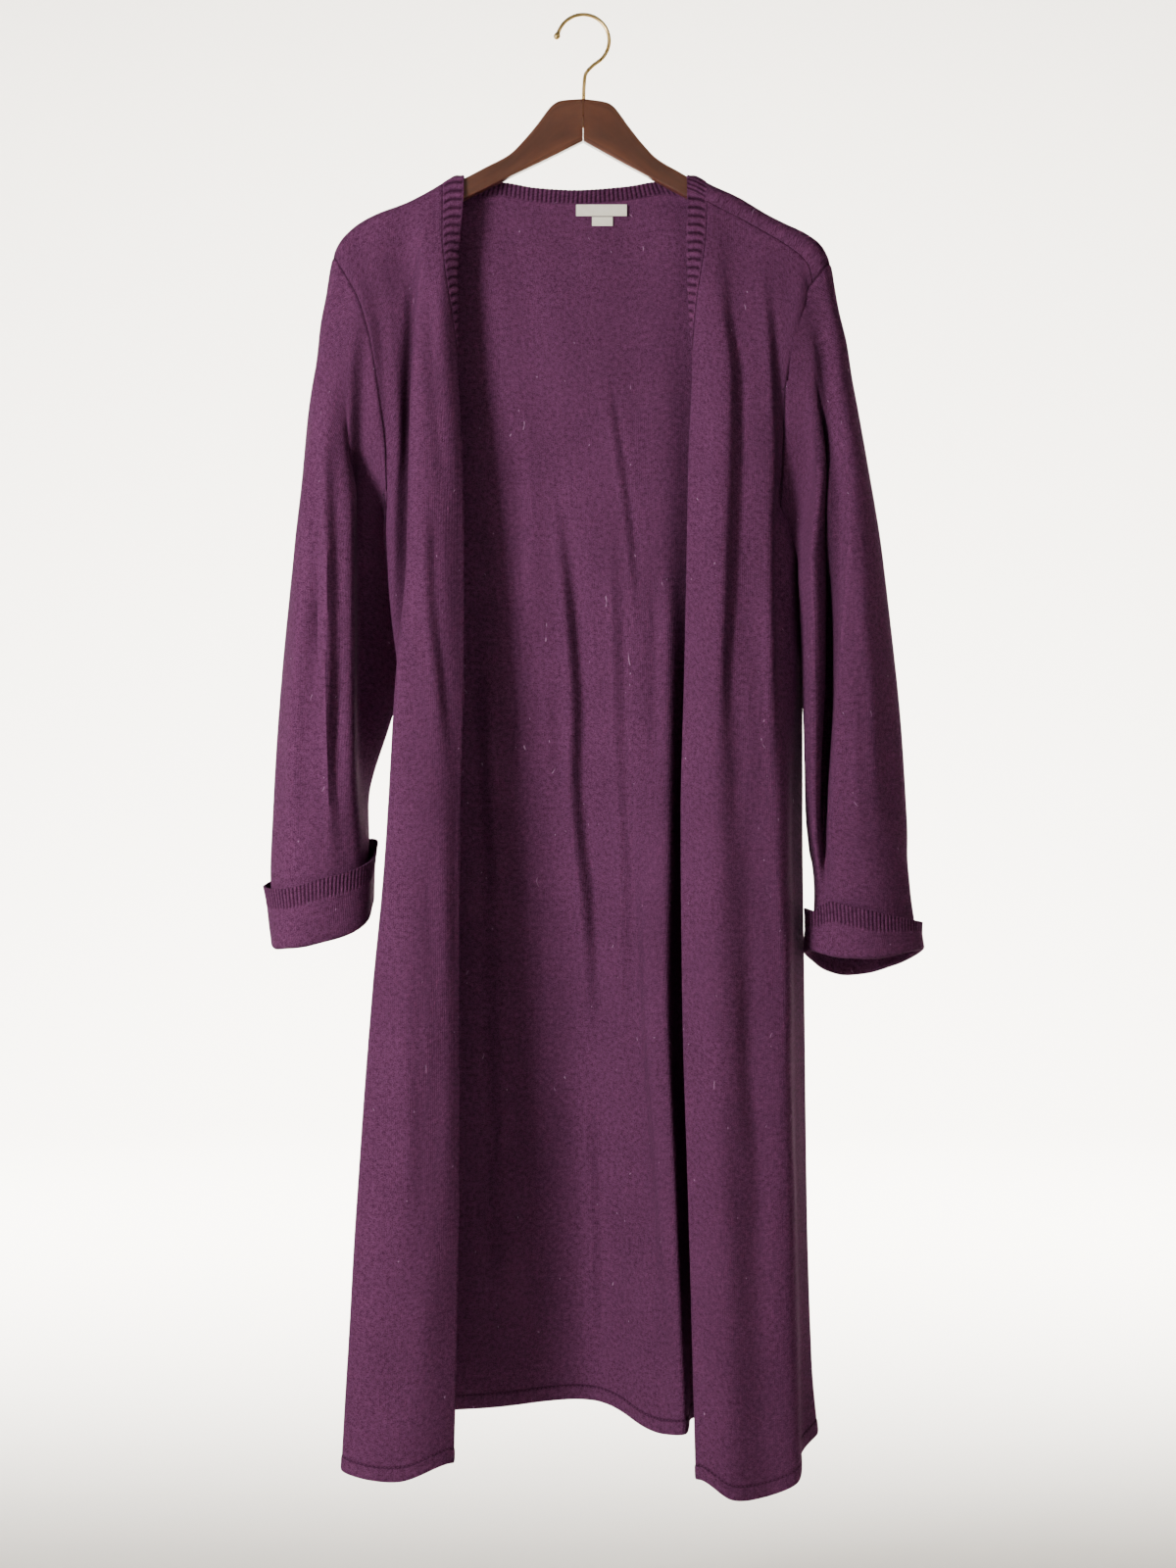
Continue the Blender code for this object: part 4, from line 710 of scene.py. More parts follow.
def sew(knit, finish, node):
    """Closes a piece into its wall: the grid moved out and in by half the wall, and a rim
    along every border. Its pattern's places are distances over the cloth, in metres."""
    middle = knit.grid + knit.normals * knit.lift[..., None]
    half = knit.normals * (knit.wall / 2)[..., None]
    rows, columns = knit.grid.shape[:2]
    size = rows * columns
    wide = columns + 1 if knit.wraps else columns
    across = distance_across(knit.grid, knit.wraps)
    up = np.repeat(distance_up(knit.grid).mean(axis=1)[:, None], wide, axis=1)
    places = np.stack([across, up], axis=-1).reshape(-1, 2) * MM
    row, column = np.meshgrid(np.arange(rows - 1), np.arange(wide - 1), indexing="ij")
    corner_rows = np.stack([row, row, row + 1, row + 1], axis=-1)[knit.present]
    corner_columns = np.stack([column, column + 1, column + 1, column], axis=-1)
    corner_columns = corner_columns[knit.present]
    if knit.faces_in:
        corner_rows, corner_columns = corner_rows[:, ::-1], corner_columns[:, ::-1]
    corners = corner_rows * columns + corner_columns % columns
    corner_places = corner_rows * wide + corner_columns
    edges, edge_places = (
        np.concatenate([of[:, [k, (k + 1) % 4]] for k in range(4)])
        for of in (corners, corner_places)
    )
    there = edges[:, 0] * size + edges[:, 1]
    back = edges[:, 1] * size + edges[:, 0]
    open_edge = ~np.isin(there, back)
    border, border_places = edges[open_edge], edge_places[open_edge]
    rim = np.concatenate([border[:, ::-1], border + size], axis=1)
    faces = np.concatenate([corners, corners[:, ::-1] + size, rim])
    uv = places[
        np.concatenate([corner_places, corner_places[:, ::-1], border_places[:, [1, 0, 0, 1]]])
    ]
    points = np.concatenate([(middle + half).reshape(-1, 3), (middle - half).reshape(-1, 3)])
    used = np.unique(faces)
    number = np.zeros(size * 2, int)
    number[used] = np.arange(len(used))
    shade = np.tile(knit.shade.ravel(), 2)[used]
    return mesh_piece(
        knit.name, points[used], number[faces].tolist(), finish, [node], uv, 60, shade
    )


def cut_finer(knit, rows=None, columns=None):
    """Reads a piece again at finer places, given as distances along its mean column or its
    mean row, so that narrow ribs can be raised on it."""
    for axis, wanted in ((0, rows), (1, columns)):
        if wanted is None:
            continue
        wraps = axis == 1 and knit.wraps
        grid, normals = wrapped(knit.grid, wraps), wrapped(knit.normals, wraps)
        along = (distance_up(grid) if axis == 0 else distance_across(grid)).mean(axis=1 - axis)
        wanted = wanted(along[-1])
        index = np.interp(wanted, along, np.arange(len(along)))
        low = np.clip(np.floor(index).astype(int), 0, len(along) - 2)
        share = (index - low).reshape((-1, 1, 1) if axis == 0 else (1, -1, 1))
        read = [
            np.take(v, low, axis=axis) * (1 - share) + np.take(v, low + 1, axis=axis) * share
            for v in (grid, normals)
        ]
        knit.grid, knit.normals = read[0], unit(read[1])
        if wraps:
            knit.grid, knit.normals = knit.grid[:, :-1], knit.normals[:, :-1]
    knit.plain_wall()


def raise_ribs(knit, distance, pitch, height, shown, face):
    """Round ribs with narrow grooves between, with shade painted into the grooves: a raised
    cosine, its low part made short. Face is 1 where they stand on the outside, and -1 on
    the inside."""
    wave = 0.5 + 0.5 * np.cos(2 * math.pi * distance / pitch)
    knit.lift += face * height * (wave**0.45 - 0.6) * shown
    knit.paint_shade((1 - wave) ** 2.2 * shown)


PLUM = ((0.034, 0.0094, 0.027), (0.126, 0.040, 0.102))  # the yarn's deep and its light shade
# The ribs' yarn is a little lighter than PLUM, to make up for the shade painted in their grooves.
RIB_PLUM = ((0.039, 0.0105, 0.031), (0.138, 0.043, 0.111))
LINT = (0.36, 0.20, 0.33)
WALE_PITCH = 1.7


def plum_knit(name, deep, light, across_ribs=False):
    """Heathered plum yarn. Two shades are mixed fibre by fibre, and again in broad soft
    patches. Fine wales and a nap rough up the surface, and pale lint clings to it. Painted
    shade then darkens the colour where the mesh's shade attribute is high: in grooves,
    creases, seams and along the hem's stitches."""
    node, finish = new_material(
        name, deep, 0.88, Specular_IOR_Level=0.02, Sheen_Weight=0.04, Sheen_Roughness=0.45,
        Sheen_Tint=(0.75, 0.42, 0.72, 1),
    )

    def step(kind, first, second):
        """One step of arithmetic with two values."""
        return node("ShaderNodeMath", {"operation": kind}, i0=first, i1=second).outputs[0]

    place = node("ShaderNodeUVMap", {"uv_map": "cloth"}).outputs[0]
    fibres = node("ShaderNodeTexNoise", Vector=place, Scale=1000.0, Detail=3.0, Roughness=0.75)
    clumps = node("ShaderNodeTexNoise", Vector=place, Scale=300.0, Detail=2.0).outputs["Fac"]
    patches = node("ShaderNodeTexNoise", Vector=place, Scale=16.0, Detail=3.0)
    heather = step("ADD", step("MULTIPLY", fibres.outputs["Fac"], 0.7),
                   step("MULTIPLY", clumps, 0.3))
    mixed = node("ShaderNodeMapRange", Value=heather, From_Min=0.36, From_Max=0.64)
    tone = node("ShaderNodeMixRGB", Fac=mixed.outputs[0], i1=(*deep, 1), i2=(*light, 1))
    broad = node("ShaderNodeMapRange", Value=patches.outputs["Fac"], From_Min=0.3,
                 From_Max=0.7, To_Min=0.93, To_Max=1.07)
    worn = node("ShaderNodeVectorMath", {"operation": "SCALE"}, i0=tone.outputs[0],
                Scale=broad.outputs[0])
    stretch = node("ShaderNodeMapping", Vector=place, Scale=(1.0, 0.42, 1.0),
                   Rotation=(0, 0, 0.7)).outputs[0]
    wander = node("ShaderNodeTexNoise", Vector=place, Scale=45.0, Detail=1.0)
    bent = node("ShaderNodeVectorMath", {"operation": "MULTIPLY_ADD"},
                i0=wander.outputs["Color"], i1=(0.02, 0.02, 0.0), i2=stretch)
    lint = node("ShaderNodeTexVoronoi", Vector=bent.outputs[0], Scale=150.0, Randomness=1.0)
    spot = node("ShaderNodeMapRange", Value=lint.outputs["Distance"], From_Min=0.05,
                From_Max=0.10, To_Min=1.0, To_Max=0.0)
    chosen = node("ShaderNodeSeparateColor", Color=lint.outputs["Color"])
    some = step("GREATER_THAN", chosen.outputs[0], 0.72)
    mask = step("MULTIPLY", spot.outputs[0], step("MULTIPLY", some, 0.55))
    linted = node("ShaderNodeMixRGB", Fac=mask, i1=worn.outputs[0], i2=(*LINT, 1))
    # painted shade: the colour is dimmed by each point's shade, standing in for the little light
    # that reaches grooves and creases
    painted_shade = node("ShaderNodeAttribute", {"attribute_name": "shade"}).outputs["Fac"]
    dim = step("SUBTRACT", 1.0, step("MULTIPLY", painted_shade, 0.75))
    dimmed = node("ShaderNodeVectorMath", {"operation": "SCALE"}, i0=linted.outputs[0],
                  Scale=dim)
    split = node("ShaderNodeSeparateXYZ", Vector=place)
    over = split.outputs[1] if across_ribs else split.outputs[0]
    turns = step("MULTIPLY", over, 2 * math.pi / (WALE_PITCH * MM))
    wales = step("SINE", step("ADD", turns, step("MULTIPLY", clumps, 2.5)), 0.0)
    nap = step("ADD", step("MULTIPLY", wales, 0.22), heather)
    bump = node("ShaderNodeBump", Strength=0.55, Distance=0.0007, Height=nap)
    return finish(Base_Color=dimmed.outputs[0], Normal=bump.outputs[0])


plum = plum_knit("plum knit", *PLUM)
plum_rib = plum_knit("plum rib", *RIB_PLUM)
band_plum = plum_knit("plum band", *RIB_PLUM, across_ribs=True)

# Each crease is its width, its height, the shade painted along it (dark) and its path as x and z;
# the same for BACK_CREASES and SLEEVE_CREASES.
FRONT_CREASES = {
    -1: (
        (5.5, 1.9, 0.7, ((-140.8, -183), (-146.4, -241), (-149.4, -303), (-150.7, -365),
         (-152.2, -427), (-153.6, -489), (-156.6, -550))),
        (5, 1.9, 0, ((-129.4, -394), (-127.6, -427), (-126.7, -489), (-120.7, -550),
         (-112.4, -628))),
        (6, -1.52, 0, ((-127.6, -195), (-125, -241), (-119.9, -303), (-114.7, -365),
         (-110.5, -427))),
        (6.5, -1.14, 0, ((-122.9, -648), (-121.1, -733), (-117.7, -810), (-116, -891),
         (-116.7, -976), (-115, -1053))),
        (7, 1.14, 0, ((-139.7, -778), (-141.2, -855), (-138.6, -956), (-141.8, -1037))),
        (5, -1.9, 0, ((-169.6, -212), (-164.4, -303), (-160.9, -365), (-163.1, -427),
         (-161.2, -517))),
    ),
    1: (
        (5, 2.66, 0.2, ((117.7, -195), (120.8, -253), (126.4, -303), (125.3, -365), (123.5, -427),
         (120.9, -489), (118.3, -550), (117.3, -632))),
        (4.4, 2.85, 0.35, ((149, -195), (156.2, -245), (160.1, -303), (161.4, -365),
         (159.5, -427), (159.3, -489), (159.9, -550), (160.4, -640))),
        (5, -1.14, 0, ((104.2, -320), (105.7, -365), (104.7, -427), (104.5, -517))),
        (6, -1.14, 0, ((129, -517), (130.5, -550), (132.8, -615), (130.1, -697))),
        (6, -1.14, 0, ((155.4, -689), (157.7, -733), (164.8, -794), (166.3, -875))),
        (7, 1.14, 0, ((130.8, -754), (130.7, -794), (132.2, -891), (140.2, -976),
         (138.5, -1053))),
        (4, -1.71, 0, ((167.8, -402), (169.1, -489), (172.1, -550), (171.9, -615))),
    ),
}

knits = {}
for side, word in SIDES:
    band_grid, front_grid = front_surfaces(side)
    knits[f"front_{word}"] = Knit(f"panel_front_{word}", front_grid, faces_in=side < 0)
    knits[f"band_{word}"] = Knit(f"ribbed_band_{word}", band_grid, faces_in=side < 0)

# ---------------------------------------------------------------- the back
# One wide panel of the same jersey, from one side seam to the other. It hangs free behind
# the open front, in an uneven hollow and a crease, and doubles forward at its right.

BACK_FOLDS = {
    "left_fold": ((-150, -152, -148, -142, -137, -129, -131, -135, -139, -146),
        (10, 15, 17, 18, 20, 24, 30, 36, 40, 44), -1190),
    "hollow": ((-78, -84, -82, -79, -71, -68, -78, -82, -80, -78),
        (14, 15, 16, 18, 22, 26, 32, 38, 44, 48), -1184),
    "crease": ((-22, -20, -18, -16, -14, -5, -1, 7, 12, 12),
        (18, 16, 16, 17, 20, 24, 33, 41, 50, 58), -1180),
    "ridge": ((26, 30, 30, 31, 32, 35, 40, 48, 62, 70),
        (18, 15, 13, 12, 11, 12, 15, 15, 10, -2), -1197),
    "right_fold": ((62, 66, 66, 68, 70, 72, 72, 70, 77, 85),
        (15, 14, 13, 12, 10, 6, 0, -4, -8, -13), -1195),
    "turn": ((88, 90, 90, 90, 89, 87, 84, 82, 87, 93),
        (12, 14, 15, 16, 18, 20, 22, 24, 26, 24), -1189),
    "right_flat": ((128, 130, 131, 132, 133, 138, 140, 142, 144, 150),
        (10, 14, 17, 20, 24, 30, 36, 42, 46, 48), -1190),
}

# The back neck, where its rib is linked to the panel
NECK_SEAM = {
    "x": (-118, -107, -92, -70, -41, -7, 38, 66, 82, 94, 103.5),
    "y": (9, 12, 14, 16, 17.5, 18, 17.5, 16, 14, 12, 9),
    "z": (-150, -151.5, -150.5, -148.5, -153.5, -155, -152, -147.5, -149, -150, -149),
}

BACK_STEPS = tuple(9 * cuts for cuts in (3, 4, 3, 3, 3, 2, 2, 5))
LEFT_COLUMNS, RIGHT_COLUMNS = 46, 55  # the columns that run up to each shoulder
LEFT_ALONG = np.linspace(0.0, 1.0, LEFT_COLUMNS)
RIGHT_ALONG = np.linspace(0.0, 1.0, RIGHT_COLUMNS)
ROLL_ROWS = 18


def through(table, places, knots=slice(None)):
    """A curve through a table's x, y and z, read at places counted in knots."""
    rows = [table[axis][knots] for axis in "xyz"]
    return np.stack([steady_curve(np.arange(len(row)), row, places) for row in rows], axis=-1)


def over_shoulder(side, count):
    """Distances over the roll of a shoulder, from behind it to its seam."""
    return np.linspace(-QUARTER_ROLL, SHOULDER_SEAM[side], count)


def back_surface():
    """The back panel, its columns running left shoulder, neck, right shoulder, and the
    mask of its faces: there are none over the neck. A row is a section through the folds,
    drawn over above towards the shoulders and the neck."""
    shares = BODY_SHARES
    folds = list(BACK_FOLDS.values())
    tops = np.interp([fold[0][0] for fold in folds], NECK_SEAM["x"], NECK_SEAM["z"])
    left, right = side_line(-1, "back", shares), side_line(1, "back", shares)
    lines = [fold_line(fold, shares, top) for fold, top in zip(folds, tops)]
    knots = np.stack([left] + lines + [right], axis=1)
    places = [number + np.arange(cuts) / cuts for number, cuts in enumerate(BACK_STEPS)]
    places[0] = places[0] ** CROWDING
    places[-1] = len(BACK_STEPS) - (len(BACK_STEPS) - places[-1]) ** CROWDING
    grid = round_curve(knots, np.concatenate(places + [[len(BACK_STEPS)]]))
    neck_count = grid.shape[1] - LEFT_COLUMNS - RIGHT_COLUMNS
    neck_places = np.linspace(0, len(NECK_SEAM["x"]) - 3, neck_count)
    target = np.concatenate([
        shoulder(-1, LEFT_ALONG[::-1], -QUARTER_ROLL),
        through(NECK_SEAM, neck_places, slice(1, -1)),
        shoulder(1, RIGHT_ALONG, -QUARTER_ROLL),
    ])
    blend = soft_step(shares, BACK_EASE, 1.0)[:, None, None]
    grid = grid + (target - grid[-1])[None] * blend
    grid[:, 0], grid[:, -1] = left, right
    grid[-1, 0], grid[-1, -1] = target[0], target[-1]
    left_roll, right_roll = (over_shoulder(side, ROLL_ROWS + 1)[1:, None] for side in (-1, 1))
    over = np.repeat(grid[-1:], ROLL_ROWS, axis=0)
    over[:, :LEFT_COLUMNS] = shoulder(-1, LEFT_ALONG[None, ::-1], left_roll)
    over[:, -RIGHT_COLUMNS:] = shoulder(1, RIGHT_ALONG[None, :], right_roll)
    present = np.ones((len(shares) - 1 + ROLL_ROWS, grid.shape[1] - 1), bool)
    present[len(shares) - 1 :, LEFT_COLUMNS - 1 : -(RIGHT_COLUMNS - 1)] = False
    return np.concatenate([grid, over]), present


# Width, height, painted shade (dark) and path as x and z, as in FRONT_CREASES
BACK_CREASES = (
    (4.6, 3.61, 0.35, ((-24.1, -386), (-17.5, -440), (-11.7, -490), (-7.5, -540), (-5, -590),
     (-5.8, -640), (-2.5, -690), (3.3, -740), (7.5, -803), (10.1, -866))),
    (5, 1.71, 0, ((5, -895), (7.6, -942), (10.1, -992), (11.8, -1068), (11.8, -1157))),
    (3.6, 1.33, 0, ((18.3, -286), (26.6, -340), (34.1, -390), (40, -440), (45.8, -502))),
    (4.6, 1.9, 0, ((25.7, -424), (28.2, -490), (29.9, -540), (32.4, -640), (34.9, -690),
     (37.4, -739), (35.7, -814))),
    (5, 2.47, 0, ((-85.7, -361), (-79.9, -390), (-73.3, -440), (-68.3, -490), (-64.2, -540),
     (-60.1, -598), (-59.3, -673))),
    (5, 1.71, 0, ((-49.3, -623), (-53.5, -690), (-52.7, -740), (-49.4, -790), (-47.8, -841),
     (-47.8, -942), (-49.5, -992), (-50.4, -1068))),
    (4, 0.76, 0, ((-27.5, -556), (-26.7, -598), (-24.2, -648))),
    (4, 0.95, 0, ((-41.8, -715), (-40.2, -740), (-39.4, -841), (-37.7, -883))),
    (5, 1.33, 0, ((31.5, -905), (34.8, -938), (41.5, -988), (44.7, -1037), (41.4, -1103))),
    (6, -2.09, 0, ((64, -449), (66.5, -515), (65.7, -590), (67.4, -648))),
    (7, -3.99, 0, ((44.1, -665), (46.6, -715), (48.2, -764), (50.7, -839), (54, -889),
     (58.1, -938), (61.3, -988), (64.6, -1037), (67, -1087), (69.4, -1161))),
    (7, -2.66, 0, ((-87.5, -448), (-85, -515), (-84.3, -615), (-81.1, -690), (-77.8, -782),
     (-75.5, -916), (-73.1, -1034), (-73.2, -1161))),
    (7, -0.95, 0, ((-50.8, -340), (-48.3, -415), (-52.5, -531))),
    (6, -1.14, 0, ((-4.2, -398), (4.2, -515), (10, -598), (13.4, -715))),
)

back_grid, back_faces = back_surface()
knits["back"] = Knit("panel_back", back_grid, present=back_faces, faces_in=True)

# ---------------------------------------------------------------- the neck rib
# A narrow strip knitted in ribs and linked round the back neck, over both hanger arms,
# where it meets the two front bands at the shoulder seams.

NECK_PITCH = 3.8
NECK_RISE = 0.9
NECK_EDGE = {
    "x": (-100.5, -95, -86, -68, -40, -6, 36, 61, 73, 82, 87.5),
    "y": (9, 9, 9, 9, 9.5, 9.5, 9.5, 9, 9, 9, 9),
    "z": (-137, -137.5, -138, -138.5, -143, -145, -142, -138, -137.5, -137, -137),
}


def neck_rib_surface(back):
    """The strip from its seam, the back panel's own edge, up to its free edge: over the
    left arm, along the neck and over the right arm."""
    last = len(BODY_SHARES) - 1
    seam_neck = back[last, LEFT_COLUMNS:-RIGHT_COLUMNS]
    across = np.linspace(0, 1, BAND_COLUMNS)[:, None, None]
    edge = through(NECK_EDGE, np.linspace(1, len(NECK_EDGE["x"]) - 2, len(seam_neck)))
    neck = seam_neck[None] * (1 - across) + edge[None] * across
    over_left, over_right = (
        shoulder(side, -BAND_ALONG * across[..., 0], over_shoulder(side, len(back) - last)[None])
        for side in (-1, 1)
    )
    return np.concatenate([over_left[:, ::-1], neck, over_right], axis=1)


knits["neck_rib"] = Knit("ribbed_neck", neck_rib_surface(back_grid), faces_in=True)

# ---------------------------------------------------------------- the sleeves and cuffs
# Each sleeve is a long tube, linked into its armhole, that hangs in lengthwise folds. Its
# end is turned up once to the outside, so that the ribbed cuff shows there upside down.

CUFF_RIB_HEIGHT = 18.0
CUFF_RIB_SHARE = 0.48  # the rib is lower where the turn-up is low
CUFF_FLARE = 1.4
CUFF_LAYER_GAP = 5.5  # middle of the sleeve wall to middle of the turned-up wall
CUFF_PITCH = 3.4
CUFF_RISE = 0.9
SLEEVE_ROOT = 6.0  # the sleeve stands out this far from its seam before it hangs
SHOULDER_ROOT = 2.6  # but only this far at the top of the shoulder
SHOULDER_DROP = 14.0  # where it falls this far
# At the underarm it stands out less, and back or forward instead, to lie past the body
UNDERARM_ROOT = {-1: (-1.0, 5.0, -3.0), 1: (6.0, 1.0, -5.0)}
UNDERARM_REACH = 0.3  # the share of the armhole's height that this eases out over
SLEEVE_RINGS = np.concatenate([[0.0, 0.04, 0.1, 0.2, 0.32, 0.5, 0.75],
                               1.0 + np.linspace(0.03, 5.0, 130)])
# Just below its armhole the right sleeve's front is pressed to the side, away from the body
PRESS_LEVEL = -437.0
PRESS_REACH = 14.0
PRESS_FROM, PRESS_FULL = 194.0, 180.0  # x
PRESS_DEPTH = 4.0

# Where each fold leaves the armhole: 0 is the underarm, 0.5 is the shoulder and 1 is the
# underarm again, the front first. Then each sleeve's sections from the upper arm to the
# fold of the turn-up, as x, y and z of each fold, and how far each fold is turned up.
FOLD_PLACES = {
    -1: {
        "underarm": 0.0, "step": 0.16, "lobe_edge": 0.26, "lobe_crest": 0.33, "lobe_side": 0.39,
        "outer": 0.45, "back_outer": 0.66, "back_inner": 0.84,
    },
    1: {
        "underarm": 0.0, "strip": 0.24, "valley": 0.31, "lobe_edge": 0.37, "lobe_crest": 0.44,
        "outer": 0.52, "back_outer": 0.68, "back_inner": 0.85,
    },
}
SLEEVE = {
    -1: {
        "upper": (
            (-161, 27, -474), (-187, 8, -464), (-195, -20, -458), (-219, -33, -452),
            (-237, -21, -448), (-243, 2, -446), (-228, 32, -452), (-190, 46, -464)),
        "elbow": (
            (-160, 31, -572), (-187, 6, -568), (-195, -24, -565), (-217, -36, -563),
            (-243, -25, -561), (-254, 0, -560), (-238, 30, -563), (-196, 46, -568)),
        "forearm": (
            (-184, 31, -662), (-186, 4, -668), (-190, -24, -672), (-214, -37, -674),
            (-247, -27, -676), (-261, -2, -676), (-248, 24, -672), (-215, 38, -666)),
        "wrist": (
            (-184, 26, -694), (-183, 4, -704), (-187, -20, -716), (-213, -34, -726),
            (-246, -29, -732), (-262, -6, -732), (-249, 20, -722), (-214, 34, -704)),
        "turn": (
            (-186, 22, -740), (-184, 2, -752), (-188, -17, -764), (-214, -31, -776),
            (-243, -28, -782), (-257, -8, -782), (-247, 17, -774), (-216, 30, -756)),
    },
    1: {
        "upper": (
            (183, -9, -480), (192, -24, -474), (204, 0, -466), (210, -25, -460), (229, -37, -454),
            (251, -4, -448), (240, 30, -454), (204, 34, -470)),
        "elbow": (
            (186, -13, -574), (192, -27, -570), (204, -2, -566), (209, -27, -564),
            (232, -38, -562), (264, -4, -560), (250, 30, -563), (208, 32, -570)),
        "forearm": (
            (189, -9, -682), (194, -24, -681), (203, -6, -680), (206, -27, -680),
            (234, -38, -680), (272, -6, -679), (259, 26, -680), (216, 30, -682)),
        "wrist": (
            (195, -3, -738), (198, -16, -736), (203, -20, -736), (210, -29, -738),
            (238, -37, -742), (275, -8, -744), (262, 22, -748), (222, 28, -746)),
        "turn": (
            (192, -9, -786), (195, -17, -785), (202, -23, -787), (212, -30, -789),
            (240, -36, -790), (281, -9, -785), (262, 22, -800), (222, 28, -808)),
    },
}
TURN_UP = {-1: (46, 47, 50, 51, 47, 49, 50, 48), 1: (33, 30, 37, 43, 37, 20, 40, 44)}


def sleeve_surface(side, front, back):
    """The sleeve, its rows running down and its columns round it, and its cuff's rib.
    Rings go from the armhole through the named sections to the turn, round a half circle
    there, and up outside."""
    column = 0 if side < 0 else -1
    loop = np.concatenate([front[UNDERARM_ROW:, -1], back[UNDERARM_ROW:, column][::-1][1:-1]])
    count = len(loop)
    knots = np.array(list(FOLD_PLACES[side].values()) + [1.0]) * count
    along = np.interp(np.arange(count), knots, np.arange(len(knots)))
    sections = [round_curve(rows, along, True) for rows in SLEEVE[side].values()]
    height = (loop[:, 2] - loop[0, 2]) / (loop[:, 2].max() - loop[0, 2])
    root = loop.copy()
    root[:, 0] += side * (SLEEVE_ROOT + (SHOULDER_ROOT - SLEEVE_ROOT) * height**2)
    root[:, 2] -= SHOULDER_DROP * height**2
    near = 1 - soft_step(height, 0.0, UNDERARM_REACH)[:, None]
    root = root * (1 - near) + (loop + np.array(UNDERARM_ROOT[side])) * near
    rings = round_curve(np.stack([loop, root] + sections, axis=1), SLEEVE_RINGS)
    rings = np.swapaxes(rings, 0, 1)
    rings[0] = loop
    wrist, turn = sections[-2], sections[-1]
    rise = unit(wrist - turn)
    out = unit(np.cross(rise, np.roll(turn, -1, axis=0) - np.roll(turn, 1, axis=0)))
    out *= np.sign(np.sum(out * (turn - turn.mean(axis=0)), axis=1).sum())
    half = CUFF_LAYER_GAP / 2
    arc = np.linspace(0, math.pi, 9)[1:-1, None, None]
    fold = turn + out * half * (1 - np.cos(arc)) - rise * half * np.sin(arc)
    folds_up = np.repeat(np.array(TURN_UP[side], float)[:, None], 3, axis=1)
    turn_up = round_curve(folds_up, along, True)[:, :1]
    seam = turn_up - np.minimum(CUFF_RIB_HEIGHT, CUFF_RIB_SHARE * turn_up)
    layer = turn + out * CUFF_LAYER_GAP
    up = layer + rise * seam * np.linspace(0, 1, 14)[:, None, None]
    share = np.linspace(0, 1, 13)[:, None, None]
    rib = layer + out * CUFF_FLARE * share**1.8 + rise * (
        seam * (1 - share) + turn_up * share)
    return np.concatenate([rings, fold, up]), rib


# Width, height, painted shade (dark) and path as x and z, as in FRONT_CREASES
SLEEVE_CREASES = {
    -1: (
        (3.6, -3.61, 0, ((-224.2, -336), (-219, -402), (-218.8, -443), (-218.4, -525),
         (-217.4, -566), (-216.5, -615), (-214.8, -664), (-213.2, -722))),
        (5, 3.04, 0, ((-225.3, -451), (-228.4, -501), (-230.7, -533), (-235.4, -607),
         (-237.7, -705))),
        (5, 3.42, 0.75, ((-180.3, -224), (-186.7, -261), (-189.9, -303), (-191.3, -361),
         (-192.6, -443), (-192.1, -566), (-191.2, -632), (-187.1, -697))),
        (4, 1.52, 0, ((-209.2, -385), (-208.2, -443), (-206.2, -517), (-210, -615),
         (-206.7, -697))),
        (5, -1.71, 0, ((-205.4, -319), (-203.4, -402), (-202.2, -484), (-202.7, -599),
         (-200.1, -697))),
    ),
    1: (
        (4, -1.9, 0, ((218.4, -352), (218.2, -402), (218.8, -451), (214.4, -517), (210.9, -583),
         (208.3, -648), (205.8, -713))),
        (4, 1.52, 0, ((227.5, -517), (228.1, -566), (229.6, -607), (231.2, -648), (233.6, -705))),
        (7, 1.33, 0, ((236.8, -451), (241.3, -533), (246, -615), (249.1, -697))),
        (5, 3.42, 0.7, ((193.5, -224), (196.6, -270), (198.8, -319), (202.7, -369), (206.6, -418),
         (204.6, -501), (201.9, -583), (198.5, -689))),
    ),
}

for side, word in SIDES:
    sleeve_grid, cuff_grid = sleeve_surface(side, knits[f"front_{word}"].grid, back_grid)
    if side > 0:
        press = bell(sleeve_grid[..., 2] - PRESS_LEVEL, PRESS_REACH)
        press *= soft_step(sleeve_grid[..., 0], PRESS_FROM, PRESS_FULL)
        sleeve_grid[..., 0] -= PRESS_DEPTH * press
    for node_name, name, grid in (
        (f"sleeve_{word}", f"knit_sleeve_{word}", sleeve_grid),
        (f"cuff_rib_{word}", f"ribbed_cuff_{word}", cuff_grid),
    ):
        knits[node_name] = Knit(name, grid, wraps=True, faces_in=side > 0)

CORNER_DROP = 4.5
CORNER_LEVELS = (-165.0, -145.0)  # z where the drop begins and where it is full
CORNER_REACH = (5.0, 9.0)  # along the arm, and over it


def blunt_corner(grid, side, edge_x):
    """Lets the neck edge sink where it crosses a hanger arm: z falls by CORNER_DROP at the
    edge and over the arm's middle, less with the distance from either."""
    off_edge = (side * grid[..., 0] - edge_x) / CORNER_REACH[0]
    off_arm = grid[..., 1] / CORNER_REACH[1]
    high = soft_step(grid[..., 2], *CORNER_LEVELS)
    grid[..., 2] -= CORNER_DROP * high * np.exp(-(off_edge**2) - off_arm**2)


for side, word in SIDES:
    corner_x = np.abs(knits[f"band_{word}"].grid[-1, :, 0]).min()
    for node_name in (f"band_{word}", "neck_rib"):
        blunt_corner(knits[node_name].grid, side, corner_x)

